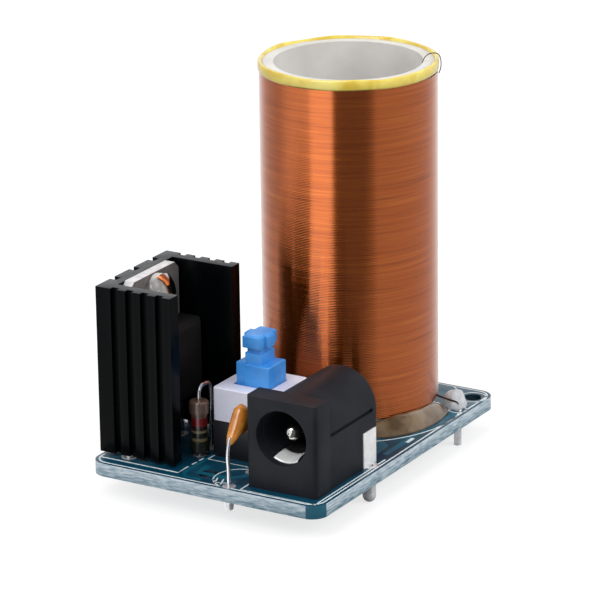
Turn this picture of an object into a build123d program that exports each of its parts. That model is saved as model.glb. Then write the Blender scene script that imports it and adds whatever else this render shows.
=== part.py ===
from build123d import *
from collections import namedtuple
from math import asin, cos, degrees, pi, radians, sin, sqrt
import os

# Desktop resonant transformer: a small one-transistor oscillator board that carries a tall secondary coil.
#
# The frame: +X runs along the board's front edge from the heat sink to the power socket, +Y runs from the
# front edge back to the coil, and +Z is up. The origin is under the middle of the board, on the plane that
# the longest solder joints stand on. Sizes are millimetres. Plan positions are written from the board's
# front left corner, because the parts are laid out from there, and level(), facing_front(), facing_side()
# and spot() turn them into the frame.

# ---------------------------------------------------------------- board
BOARD_W = 30.6
BOARD_D = 42.4
BOARD_T = 1.6
BOARD_CORNER_R = 2.0
MOUNT_HOLE_R = 1.1
MOUNT_HOLE_INSET_X = 1.8
MOUNT_HOLE_INSET_Y = 2.7
FRONT_HOLE_X = 14.3
FRONT_HOLE_Y = 3.1
PRIMARY_TURNS = 3
PRIMARY_TRACK_W = 1.0
PRIMARY_TRACK_GAP = 0.6
PRIMARY_SPREAD = 0.9
PRIMARY_EDGE_GAP = 0.4
TRACK_T = 0.1

# ---------------------------------------------------------------- leads and their solder joints
LONG_JOINT = 2.8
SHORT_JOINT = 1.4
SOLDER_TIP = 0.3
SOLDER_COAT = 0.15
SOLDER_CONE_H = 0.9
SOLDER_CONE_SPREAD = 0.35
SOLDER_CONE_TAPER = 20
LEAD_HOLE_GAP = 0.1
LEAD_D = 0.5

# ---------------------------------------------------------------- heat sink
SINK_DEPTH = 10.0
SINK_WIDTH = 15.0
SINK_H = 20.0
SINK_LIFT = 0.4
SINK_LEFT_X = 0.0
SINK_FRONT_Y = 2.5
SINK_PLATE_T = 1.0
SINK_FIN_H = 0.9
SINK_FIN_COUNT = 4
SINK_FIN_GAP = 1.0
SINK_ARM_T = 1.1
SINK_RIB_H = 0.6
SINK_RIB_W = 1.1
SINK_RIB_COUNT = 5
SINK_PIN_D = 0.9
SINK_PIN_SEAT = 4.0
SINK_PIN_RIB_COUNT = 1

# ---------------------------------------------------------------- transistor and its screw
TAB_W = 10.2
TAB_T = 1.3
TAB_H = 15.6
TAB_HOLE_R = 1.8
TAB_HOLE_DROP = 2.9
TAB_CORNER = 0.8
CASE_H = 9.2
CASE_T = 3.2
CASE_EDGE = 0.5
LEG_PITCH = 2.54
LEG_W = 0.8
LEG_T = 0.5
LEG_SHOULDER_W = 1.3
LEG_SHOULDER_H = 2.6
LEG_FROM_TAB = 1.3
SCREW_R = 1.45
SCREW_HOLE_GAP = 0.05
SCREW_TIP_INSET = 0.3
SCREW_HEAD_R = 2.8
SCREW_HEAD_H = 2.2
SCREW_HEAD_EDGE_H = 0.9
SCREW_SLOT_W = 0.7
SCREW_SLOT_L = 3.2
SCREW_SLOT_DEPTH = 1.1

# ---------------------------------------------------------------- power socket
JACK_W = 9.1
JACK_H = 10.9
JACK_L = 13.8
JACK_FRONT_Y = 2.0
JACK_RIGHT_GAP = 1.4
JACK_FLANGE_L = 3.0
JACK_FLANGE_EDGE = 0.5
JACK_BODY_INSET = 0.2
JACK_AXIS_H = 6.5
JACK_MOUTH_R = 3.25
JACK_MOUTH_L = 1.5
JACK_BORE_R = 3.15
JACK_BORE_L = 11.0
JACK_GROOVE_H = 0.45
JACK_GROOVE_DEPTH = 0.4
JACK_GROOVE_START = 0.5
JACK_GROOVE_END = 0.8
JACK_PIN_R = 1.0
JACK_PIN_RECESS = 1.7
JACK_PIN_COLLAR_R = 1.5
JACK_PIN_COLLAR_L = 1.2
JACK_PIN_RIVET_R = 0.6
JACK_METAL_T = 0.3
JACK_STRIP_W = 2.6
JACK_LEG_W = 1.0
LEAF_W = 3.0
LEAF_ROOT_L = 9.6
LEAF_ROOT_H = 2.2
LEAF_HEEL_L = 7.9
LEAF_HEEL_H = 2.7
LEAF_CREST_L = 4.8
LEAF_CREST_H = 4.2
LEAF_TIP_L = 2.6
LEAF_TIP_H = 3.3
LEAF_BEND_R = 1.0
LEAF_ROOM = 0.3
LEAF_SLOT_FLOOR = 1.3
LEAF_HINGE_GAP = 0.05
SIDE_TAB_L = 2.8
SIDE_TAB_H = 4.3
SIDE_TAB_REAR_GAP = 0.25
SIDE_TAB_SUNK = 0.15
SIDE_TONGUE_H = 0.6
SIDE_TONGUE_L = 1.0
SIDE_TONGUE_Z = 2.6

# ---------------------------------------------------------------- latching push switch
SWITCH_SIDE = 8.0
SWITCH_JACK_GAP = 0.4
SWITCH_Y = 12.4
SWITCH_H = 8.4
SWITCH_BASE_H = 4.4
SWITCH_WALL = 0.7
SWITCH_FLOOR = 0.8
SWITCH_EDGE = 0.35
SWITCH_TOP_EDGE = 0.2
SWITCH_RUN_GAP = 0.15
PLUNGER_BASE_X = 4.6
PLUNGER_BASE_Y = 3.8
PLUNGER_KEY_X = 1.4
PLUNGER_KEY_Y = 0.45
PLUNGER_BASE_TOP = 11.0
PLUNGER_STEM_X = 2.1
PLUNGER_STEM_Y = 3.0
PLUNGER_STEM_TOP = 12.3
PLUNGER_NECK_X = 1.8
PLUNGER_NECK_Y = 2.5
PLUNGER_NECK_TOP = 13.0
PLUNGER_HEAD_X = 2.3
PLUNGER_HEAD_Y = 3.8
PLUNGER_NUB_X = 3.3
PLUNGER_NUB_Y = 1.3
PLUNGER_TOP = 14.5
PLUNGER_EDGE = 0.2
PLUNGER_SKIRT_SIDE = 5.9
PLUNGER_SKIRT_BOTTOM = 5.9
PLUNGER_SKIRT_GAP = 0.1
PLUNGER_CORE_X = 3.6
PLUNGER_CORE_Y = 4.4
PLUNGER_CORE_BOTTOM = 3.6
SPRING_WIRE_R = 0.15
SPRING_R = 0.95
SPRING_TURNS = 5
SPRING_POCKET_R = 1.25
SPRING_POCKET_TOP = 7.0
LATCH_WIRE_R = 0.2
LATCH_X = 1.0
LATCH_FOOT_H = 1.5
LATCH_HOOK_H = 4.6
LATCH_RISER_Y = 2.75
LATCH_HOOK_END_Y = 1.75
LATCH_FOOT_END_Y = 3.7
LATCH_BEND_R = 0.3
LATCH_TRACK_W = 1.7
LATCH_TRACK_Y = 1.45
LATCH_TRACK_TOP = 6.9
LATCH_HOLE_GAP = 0.05
LATCH_HOLE_END_GAP = 0.1
SWITCH_PIN_PITCH = 2.0
SWITCH_PIN_ROW = 2.5
SWITCH_PIN_W = 0.5
SWITCH_PIN_T = 0.3
SWITCH_PIN_RISE = 2.4
BRIDGE_T = 0.25
BRIDGE_H = 0.9
BRIDGE_GAP = 0.05

# ---------------------------------------------------------------- resistors, capacitor and lamps
RESISTOR_R = 1.15
RESISTOR_WAIST_R = 0.95
RESISTOR_L = 6.3
RESISTOR_CAP_L = 1.5
RESISTOR_EDGE = 0.3
RESISTOR_LIFT = 0.4
RESISTOR_PITCH = 2.54
RESISTOR_LOOP_H = 1.6
RESISTOR_BEND_R = 1.0
BIAS_RESISTOR_X = 10.2
BIAS_RESISTOR_Y = 7.8
LAMP_RESISTOR_X = 6.4
LAMP_RESISTOR_SINK_GAP = 1.15
CAP_JACK_GAP = 0.6
CAP_FRONT_PAD_Y = 0.95
CAP_PAD_PITCH = 5.0
CAP_MID_Y = 3.3
CAP_MID_H = 6.7
CAP_W = 4.2
CAP_H = 5.0
CAP_T = 2.3
CAP_EDGE = 1.0
CAP_NECK_R = 0.5
CAP_NECK_OFFSET = 1.15
CAP_NECK_BOTTOM = 4.2
CAP_KINK_H = 2.6
CAP_KINK_RISE = 0.9
CAP_BEND_R = 0.4
LAMP_X = 2.6
LAMP_SINK_GAP = 1.2
LAMP_SPACING = 4.4
LAMP_R = 1.5
LAMP_FLANGE_R = 1.9
LAMP_FLANGE_T = 0.8
LAMP_H = 5.3
LAMP_LIFT = 2.4
LAMP_LEAD_PITCH = 2.54

# ---------------------------------------------------------------- secondary coil
COIL_X = 17.2
FORMER_R = 10.0
FORMER_WALL = 1.3
FORMER_H = 42.4
WINDING_FOOT = 1.6
WINDING_HEAD = 1.3
WINDING_LAYER_T = 0.15
WINDING_TURNS = 24
WINDING_WIRE_R = 0.15
WINDING_WIRE_SIDES = 8
WINDING_START = 24.0
SEAT_GAP = 0.02
TAPE_T = 0.5
TAPE_DROP = 1.0
TAPE_RISE = 0.5
END_WIRE_R = 0.12
END_WIRE_RUN = 0.8
END_WIRE_BEND_R = 0.35
END_WIRE_CLEAR = 0.15
HOOK_UNDER_TAPE = 0.35
HOOK_FOOT_ANGLE = 33.0
HOOK_TOP_ANGLE = 31.0
HOOK_INSIDE_ANGLE = 17.0
HOOK_END_ANGLE = 15.0
HOOK_CREST = 0.9
HOOK_WALL_GAP = 0.5
HOOK_DIP = 0.7
FOOT_WIRE_H = 0.9
COIL_PAD_RIGHT = 12.0
COIL_PAD_BACK = 4.5
COIL_PAD_R = 0.45
GLUE_FIT = 0.05
GLUE_W = 1.9
GLUE_H = 2.3
GLUE_LIP = 0.5
GLUE_BULGE = 0.65
GLUE_START = -46.0
GLUE_SWEEP = 58.0
DROP_R = 1.6
DROP_H = 2.2
DROP_EDGE = 1.4
DROP_ANGLE = 26.0
DROP_COIL_GAP = 0.3

# ---------------------------------------------------------------- worked-out levels and places
BOARD_BOTTOM = LONG_JOINT
TOP = BOARD_BOTTOM + BOARD_T

SINK_PLATE_X = SINK_LEFT_X + SINK_FIN_H + SINK_PLATE_T
SINK_MID_Y = SINK_FRONT_Y + SINK_WIDTH / 2
SINK_BACK_Y = SINK_FRONT_Y + SINK_WIDTH
SINK_BOTTOM = TOP + SINK_LIFT
SINK_TOP = SINK_BOTTOM + SINK_H
SINK_RIB_PITCH = (SINK_DEPTH - SINK_FIN_H - SINK_RIB_W) / (SINK_RIB_COUNT - 1)
SINK_RIB_X = [
    SINK_LEFT_X + SINK_FIN_H + SINK_RIB_W / 2 + rib * SINK_RIB_PITCH for rib in range(SINK_RIB_COUNT)
]
SINK_PIN_INSET = (SINK_ARM_T + SINK_RIB_H) / 2
SINK_PIN_X = SINK_RIB_X[SINK_PIN_RIB_COUNT]

CASE_FRONT_X = SINK_PLATE_X + TAB_T
TAB_BOTTOM = SINK_TOP - TAB_H
LEG_X = CASE_FRONT_X + LEG_FROM_TAB
SCREW_Z = SINK_TOP - TAB_HOLE_DROP
SCREW_HOLE_R = SCREW_R + SCREW_HOLE_GAP
SCREW_DOME_H = SCREW_HEAD_H - SCREW_HEAD_EDGE_H
SCREW_DOME_R = (SCREW_HEAD_R**2 + SCREW_DOME_H**2) / (2 * SCREW_DOME_H)

JACK_MID_X = BOARD_W - JACK_RIGHT_GAP - JACK_W / 2
JACK_LEFT_X = JACK_MID_X - JACK_W / 2
JACK_SIDE_X = JACK_MID_X + JACK_W / 2 - JACK_BODY_INSET
JACK_REAR_Y = JACK_FRONT_Y + JACK_L
JACK_FLANGE_Y = JACK_FRONT_Y + JACK_FLANGE_L
JACK_AXIS_Z = TOP + JACK_AXIS_H
LEAF_SLOT_W = LEAF_W + 2 * LEAF_ROOM
LEAF_HINGE_Y = JACK_FRONT_Y + LEAF_ROOT_L
SLEEVE_STRIP_Y = LEAF_HINGE_Y + LEAF_HINGE_GAP
SIDE_TAB_X = JACK_SIDE_X - SIDE_TAB_SUNK
SIDE_TAB_Y = JACK_REAR_Y - SIDE_TAB_REAR_GAP - SIDE_TAB_L

SWITCH_X = JACK_LEFT_X - SWITCH_JACK_GAP - SWITCH_SIDE / 2
PLUNGER_SKIRT_TOP = SWITCH_H - SWITCH_FLOOR - PLUNGER_SKIRT_GAP
SPRING_LENGTH = SPRING_POCKET_TOP - SWITCH_FLOOR - 2 * SPRING_WIRE_R
BRIDGE_Y = 2 * (SWITCH_PIN_ROW - SWITCH_PIN_T / 2 - BRIDGE_GAP)

LAMP_RESISTOR_Y = SINK_BACK_Y + LAMP_RESISTOR_SINK_GAP + RESISTOR_R
LAMP_FRONT_Y = SINK_BACK_Y + LAMP_SINK_GAP + LAMP_FLANGE_R
CAP_X = JACK_LEFT_X - CAP_JACK_GAP - CAP_T / 2
CAP_ENTRIES = [CAP_MID_Y - CAP_NECK_OFFSET, CAP_MID_Y + CAP_NECK_OFFSET]
CAP_PADS = [CAP_FRONT_PAD_Y, CAP_FRONT_PAD_Y + CAP_PAD_PITCH]

PRIMARY_OUTER_R = FORMER_R + PRIMARY_SPREAD
PRIMARY_PITCH = PRIMARY_TRACK_W + PRIMARY_TRACK_GAP
COIL_Y = BOARD_D - PRIMARY_EDGE_GAP - PRIMARY_TRACK_W / 2 - PRIMARY_OUTER_R
COIL_PAD_X = COIL_X + COIL_PAD_RIGHT
COIL_PAD_Y = COIL_Y + COIL_PAD_BACK
WINDING_R = FORMER_R + WINDING_LAYER_T
WIRE_R = WINDING_R + SEAT_GAP + WINDING_WIRE_R
WINDING_OUTER_R = WIRE_R + WINDING_WIRE_R
WINDING_BOTTOM = TOP + WINDING_FOOT
WINDING_TOP = TOP + FORMER_H - WINDING_HEAD
WINDING_PITCH = (WINDING_TOP - WINDING_BOTTOM - 4 * WINDING_WIRE_R) / WINDING_TURNS
TAPE_BOTTOM = TOP + FORMER_H - TAPE_DROP
TAPE_TOP = TOP + FORMER_H + TAPE_RISE
TAPE_OUTER_R = FORMER_R + SEAT_GAP + TAPE_T
HOOK_R = TAPE_OUTER_R + END_WIRE_CLEAR + END_WIRE_R
HOOK_INSIDE_R = FORMER_R - FORMER_WALL - HOOK_WALL_GAP
HOOK_TOP = TAPE_TOP + HOOK_CREST
GLUE_INNER_R = WINDING_OUTER_R + GLUE_FIT
GLUE_OUTER_R = GLUE_INNER_R + GLUE_W
DROP_FROM_AXIS = WINDING_OUTER_R + DROP_COIL_GAP + DROP_R

# Every lead that passes through the board: its place, its section, and the length of its solder joint.
Lead = namedtuple("Lead", "x y size_x size_y round joint")


def jack_lead(x, y, size_x, size_y):
    return Lead(x, y, size_x, size_y, False, LONG_JOINT)


def round_lead(x, y, diameter, joint):
    return Lead(x, y, diameter, diameter, True, joint)


REAR_LEAD = jack_lead(JACK_MID_X, JACK_REAR_Y + JACK_METAL_T / 2, JACK_LEG_W, JACK_METAL_T)
SLEEVE_LEAD = jack_lead(JACK_MID_X, SLEEVE_STRIP_Y + JACK_METAL_T / 2, JACK_LEG_W, JACK_METAL_T)
SIDE_LEAD = jack_lead(SIDE_TAB_X + JACK_METAL_T / 2, SIDE_TAB_Y + SIDE_TAB_L / 2, JACK_METAL_T, JACK_LEG_W)
TRANSISTOR_LEADS = [
    Lead(LEG_X, SINK_MID_Y + step * LEG_PITCH, LEG_T, LEG_W, False, LONG_JOINT) for step in (-1, 0, 1)
]
SINK_LEADS = [
    round_lead(SINK_PIN_X, y, SINK_PIN_D, SHORT_JOINT)
    for y in (SINK_FRONT_Y + SINK_PIN_INSET, SINK_BACK_Y - SINK_PIN_INSET)
]
SWITCH_LEADS = [
    Lead(
        SWITCH_X + column * SWITCH_PIN_PITCH,
        SWITCH_Y + row * SWITCH_PIN_ROW,
        SWITCH_PIN_W,
        SWITCH_PIN_T,
        False,
        SHORT_JOINT,
    )
    for column in (-1, 0, 1)
    for row in (-1, 1)
]
RESISTOR_SPOTS = {
    "bias": (BIAS_RESISTOR_X, BIAS_RESISTOR_Y),
    "lamp": (LAMP_RESISTOR_X, LAMP_RESISTOR_Y),
}
RESISTOR_LEADS = [
    round_lead(x, y + step, LEAD_D, SHORT_JOINT)
    for x, y in RESISTOR_SPOTS.values()
    for step in (0, RESISTOR_PITCH)
]
CAP_LEADS = [round_lead(CAP_X, y, LEAD_D, SHORT_JOINT) for y in CAP_PADS]
LAMP_SPOTS = {"feedback": LAMP_FRONT_Y, "power": LAMP_FRONT_Y + LAMP_SPACING}
LAMP_LEADS = [
    round_lead(LAMP_X + step * LAMP_LEAD_PITCH / 2, y, LEAD_D, LONG_JOINT)
    for y in LAMP_SPOTS.values()
    for step in (-1, 1)
]
BOARD_LEADS = [
    REAR_LEAD,
    SLEEVE_LEAD,
    SIDE_LEAD,
    *TRANSISTOR_LEADS,
    *SINK_LEADS,
    *SWITCH_LEADS,
    *RESISTOR_LEADS,
    *CAP_LEADS,
    *LAMP_LEADS,
]


def lead_reach(lead):
    """How far a lead's section reaches from its middle."""
    return lead.size_x / 2 if lead.round else sqrt(lead.size_x**2 + lead.size_y**2) / 2


def lead_tip(lead):
    """The height of a trimmed lead's end, inside its solder."""
    return BOARD_BOTTOM - lead.joint + SOLDER_TIP


def level(z):
    """A level plane at height z, with its origin over the board's front left corner."""
    return Plane(origin=(-BOARD_W / 2, -BOARD_D / 2, z))


def facing_front(y):
    """An upright plane y behind the board's front edge: local x is frame X, local y is height."""
    return Plane(origin=(-BOARD_W / 2, y - BOARD_D / 2, 0), x_dir=(1, 0, 0), z_dir=(0, -1, 0))


def facing_side(x):
    """An upright plane x from the board's left edge: local x is frame Y, local y is height."""
    return Plane(origin=(x - BOARD_W / 2, -BOARD_D / 2, 0), x_dir=(0, 1, 0), z_dir=(1, 0, 0))


def spot(x, y, z):
    """A point in the frame, from its place on the board and its height."""
    return Vector(x - BOARD_W / 2, y - BOARD_D / 2, z)


def coil_spot(radius, angle, z):
    """A point in the frame, from its radius and angle about the coil's axis."""
    return spot(COIL_X + radius * cos(radians(angle)), COIL_Y + radius * sin(radians(angle)), z)


def coil_level(z):
    """A level plane at height z, with its origin on the coil's axis."""
    return Plane(origin=spot(COIL_X, COIL_Y, z))


def switch_level(height):
    """A level plane at a height above the board, with its origin on the switch's axis."""
    return Plane(origin=spot(SWITCH_X, SWITCH_Y, TOP + height))


def draw_lead(lead):
    """Draws a lead's section at its place in the open sketch."""
    with Locations((lead.x, lead.y)):
        if lead.round:
            Circle(lead.size_x / 2)
        else:
            Rectangle(lead.size_x, lead.size_y)


def bent_wire(points, bend_r, wire_r):
    """A round wire along straight runs with rounded corners."""
    with BuildPart() as wire:
        with BuildLine() as route:
            FilletPolyline(*points, radius=bend_r)
        path = route.wire()
        with BuildSketch(Plane(origin=path @ 0, z_dir=path % 0)):
            Circle(wire_r)
        sweep(path=path)
    return wire.part


def helix_arcs(foot, radius, rise, turns, start_angle):
    """A rising helix as one chain of arcs that meet with one tangent, two arcs to each half turn.

    foot is the point on the helix's axis at the height where it starts. The two arcs of a half turn meet
    midway between two points: the one a tangent length past its start, and the one a tangent length short
    of its end. Both lengths are reach, and the distance between the two points is twice that.
    """
    slope = rise / (2 * pi)

    def point(angle):
        climb = slope * (angle - radians(start_angle))
        return foot + Vector(radius * cos(angle), radius * sin(angle), climb)

    def heading(angle):
        return Vector(-radius * sin(angle), radius * cos(angle), slope).normalized()

    arcs = []
    for half in range(2 * turns):
        begin = radians(start_angle) + half * pi
        start, end = point(begin), point(begin + pi)
        start_dir, end_dir = heading(begin), heading(begin + pi)
        chord = end - start
        both = start_dir + end_dir
        square = both.dot(both) - 4
        linear = -2 * chord.dot(both)
        reach = (-linear - sqrt(linear**2 - 4 * square * chord.dot(chord))) / (2 * square)
        middle = (start + start_dir * reach + end - end_dir * reach) * 0.5
        first = Edge.make_tangent_arc(start, start_dir, middle)
        arcs += [first, Edge.make_tangent_arc(middle, first % 1, end)]
    return arcs


def least_gap(arcs, wire_r, points_per_arc=12):
    """The least gap of a wound wire to itself, measured on points from half a turn to two turns apart."""
    points = [arc @ (step / points_per_arc) for arc in arcs for step in range(points_per_arc)]
    half_turn = 2 * points_per_arc
    pairs = [
        (first, second)
        for index, first in enumerate(points)
        for second in points[index + half_turn : index + 4 * half_turn]
    ]
    return min((first - second).length for first, second in pairs) - 2 * wire_r


# ================================================================ board
with BuildPart() as pcb_board:
    with BuildSketch(Plane.XY.offset(BOARD_BOTTOM)):
        RectangleRounded(BOARD_W, BOARD_D, BOARD_CORNER_R)
    extrude(amount=BOARD_T)
    with BuildSketch(level(BOARD_BOTTOM)):
        with Locations(
            (FRONT_HOLE_X, FRONT_HOLE_Y),
            (MOUNT_HOLE_INSET_X, BOARD_D - MOUNT_HOLE_INSET_Y),
            (BOARD_W - MOUNT_HOLE_INSET_X, BOARD_D - MOUNT_HOLE_INSET_Y),
        ):
            Circle(MOUNT_HOLE_R)
        for lead in BOARD_LEADS:
            with Locations((lead.x, lead.y)):
                Circle(lead_reach(lead) + LEAD_HOLE_GAP)
        with Locations((COIL_PAD_X, COIL_PAD_Y)):
            Circle(COIL_PAD_R)
    extrude(amount=BOARD_T, mode=Mode.SUBTRACT)

# The primary winding is a spiral track printed on the underside, below the coil.
with BuildPart() as primary_track:
    with BuildSketch(coil_level(BOARD_BOTTOM - TRACK_T)):
        with BuildLine():
            for half in range(2 * PRIMARY_TURNS):
                shift = -PRIMARY_PITCH / 2 if half % 2 else 0
                CenterArc((shift, 0), PRIMARY_OUTER_R - half * PRIMARY_PITCH / 2, 180 * half, 180)
        trace(line_width=PRIMARY_TRACK_W)
    extrude(amount=TRACK_T)

# One joint for each lead: a cone of solder on the pad, and a coat down over the trimmed end.
with BuildPart() as solder_joints:
    for lead in BOARD_LEADS:
        with BuildSketch(level(BOARD_BOTTOM)):
            with Locations((lead.x, lead.y)):
                Circle(lead_reach(lead) + LEAD_HOLE_GAP + SOLDER_CONE_SPREAD)
        extrude(amount=-SOLDER_CONE_H, taper=SOLDER_CONE_TAPER)
        with BuildSketch(level(BOARD_BOTTOM)):
            with Locations((lead.x, lead.y)):
                Circle(lead_reach(lead) + SOLDER_COAT)
        extrude(amount=-lead.joint)
    for lead in BOARD_LEADS:
        with BuildSketch(level(BOARD_BOTTOM)):
            draw_lead(lead)
        extrude(amount=lead_tip(lead) - BOARD_BOTTOM, mode=Mode.SUBTRACT)

# The secondary's foot ends in a solder-filled hole of its own, as long as the longest joints.
with BuildPart() as coil_pad_joint:
    with BuildSketch(level(0)):
        with Locations((COIL_PAD_X, COIL_PAD_Y)):
            Circle(COIL_PAD_R)
    extrude(amount=TOP)
    with BuildSketch(level(BOARD_BOTTOM)):
        with Locations((COIL_PAD_X, COIL_PAD_Y)):
            Circle(COIL_PAD_R + SOLDER_CONE_SPREAD)
    extrude(amount=-SOLDER_CONE_H, taper=SOLDER_CONE_TAPER)

# ================================================================ heat sink
with BuildPart() as heat_sink:
    with BuildSketch(level(SINK_BOTTOM)):
        with Locations((SINK_LEFT_X + SINK_FIN_H, SINK_FRONT_Y + SINK_RIB_H)):
            Rectangle(SINK_PLATE_T, SINK_WIDTH - 2 * SINK_RIB_H, align=(Align.MIN, Align.MIN))
        for y in (SINK_FRONT_Y + SINK_RIB_H, SINK_BACK_Y - SINK_RIB_H - SINK_ARM_T):
            with Locations((SINK_LEFT_X + SINK_FIN_H, y)):
                Rectangle(SINK_DEPTH - SINK_FIN_H, SINK_ARM_T, align=(Align.MIN, Align.MIN))
        for x in SINK_RIB_X:
            for y in (SINK_FRONT_Y, SINK_BACK_Y - SINK_RIB_H):
                with Locations((x, y)):
                    Rectangle(SINK_RIB_W, SINK_RIB_H, align=(Align.CENTER, Align.MIN))
        fin_w = (SINK_WIDTH - (SINK_FIN_COUNT - 1) * SINK_FIN_GAP) / SINK_FIN_COUNT
        for fin in range(SINK_FIN_COUNT):
            with Locations((SINK_LEFT_X, SINK_FRONT_Y + fin * (fin_w + SINK_FIN_GAP))):
                Rectangle(SINK_FIN_H, fin_w, align=(Align.MIN, Align.MIN))
    extrude(amount=SINK_H)
    with BuildSketch(facing_side(SINK_LEFT_X)):
        with Locations((SINK_MID_Y, SCREW_Z)):
            Circle(SCREW_HOLE_R)
    extrude(amount=SINK_FIN_H + SINK_PLATE_T, mode=Mode.SUBTRACT)
    with BuildSketch(level(SINK_BOTTOM)):
        for lead in SINK_LEADS:
            draw_lead(lead)
    extrude(amount=SINK_PIN_SEAT, mode=Mode.SUBTRACT)

with BuildPart() as heat_sink_pins:
    for lead in SINK_LEADS:
        with BuildSketch(level(lead_tip(lead))):
            draw_lead(lead)
        extrude(amount=SINK_BOTTOM + SINK_PIN_SEAT - lead_tip(lead))

# ================================================================ transistor
with BuildPart() as transistor_tab:
    with BuildSketch(facing_side(SINK_PLATE_X)):
        with Locations((SINK_MID_Y, TAB_BOTTOM + TAB_H / 2)):
            Rectangle(TAB_W, TAB_H)
        with Locations((SINK_MID_Y, SCREW_Z)):
            Circle(TAB_HOLE_R, mode=Mode.SUBTRACT)
    extrude(amount=TAB_T)
    chamfer(transistor_tab.edges().filter_by(Axis.X).group_by(Axis.Z)[-1], TAB_CORNER)

with BuildPart() as transistor_case:
    with BuildSketch(facing_side(CASE_FRONT_X)):
        with Locations((SINK_MID_Y, TAB_BOTTOM + CASE_H / 2)):
            Rectangle(TAB_W, CASE_H)
    extrude(amount=CASE_T)
    chamfer(transistor_case.faces().sort_by(Axis.X)[-1].edges(), CASE_EDGE)

with BuildPart() as transistor_leads:
    for lead in TRANSISTOR_LEADS:
        with BuildSketch(level(lead_tip(lead))):
            draw_lead(lead)
        extrude(amount=TAB_BOTTOM - lead_tip(lead))
        with BuildSketch(level(TAB_BOTTOM - LEG_SHOULDER_H)):
            with Locations((lead.x, lead.y)):
                Rectangle(LEG_T, LEG_SHOULDER_W)
        extrude(amount=LEG_SHOULDER_H)

with BuildPart() as clamp_screw:
    with BuildSketch(facing_side(SINK_LEFT_X + SCREW_TIP_INSET)):
        with Locations((SINK_MID_Y, SCREW_Z)):
            Circle(SCREW_R)
    extrude(amount=CASE_FRONT_X - SINK_LEFT_X - SCREW_TIP_INSET)
    # the domed head, as half its profile turned about the screw's axis
    head_origin = spot(CASE_FRONT_X, SINK_MID_Y, SCREW_Z)
    with BuildSketch(Plane(origin=head_origin, x_dir=(1, 0, 0), z_dir=(0, -1, 0))):
        with BuildLine():
            dome_angle = degrees(asin(SCREW_HEAD_R / SCREW_DOME_R))
            CenterArc((SCREW_HEAD_H - SCREW_DOME_R, 0), SCREW_DOME_R, 0, dome_angle)
            Polyline((SCREW_HEAD_EDGE_H, SCREW_HEAD_R), (0, SCREW_HEAD_R), (0, 0), (SCREW_HEAD_H, 0))
        make_face()
    revolve(axis=Axis(head_origin, (1, 0, 0)))
    with BuildSketch(facing_side(CASE_FRONT_X + SCREW_HEAD_H - SCREW_SLOT_DEPTH)):
        with Locations((SINK_MID_Y, SCREW_Z)):
            Rectangle(SCREW_SLOT_L, SCREW_SLOT_W)
            Rectangle(SCREW_SLOT_W, SCREW_SLOT_L)
    extrude(amount=SCREW_SLOT_DEPTH, mode=Mode.SUBTRACT)

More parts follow.
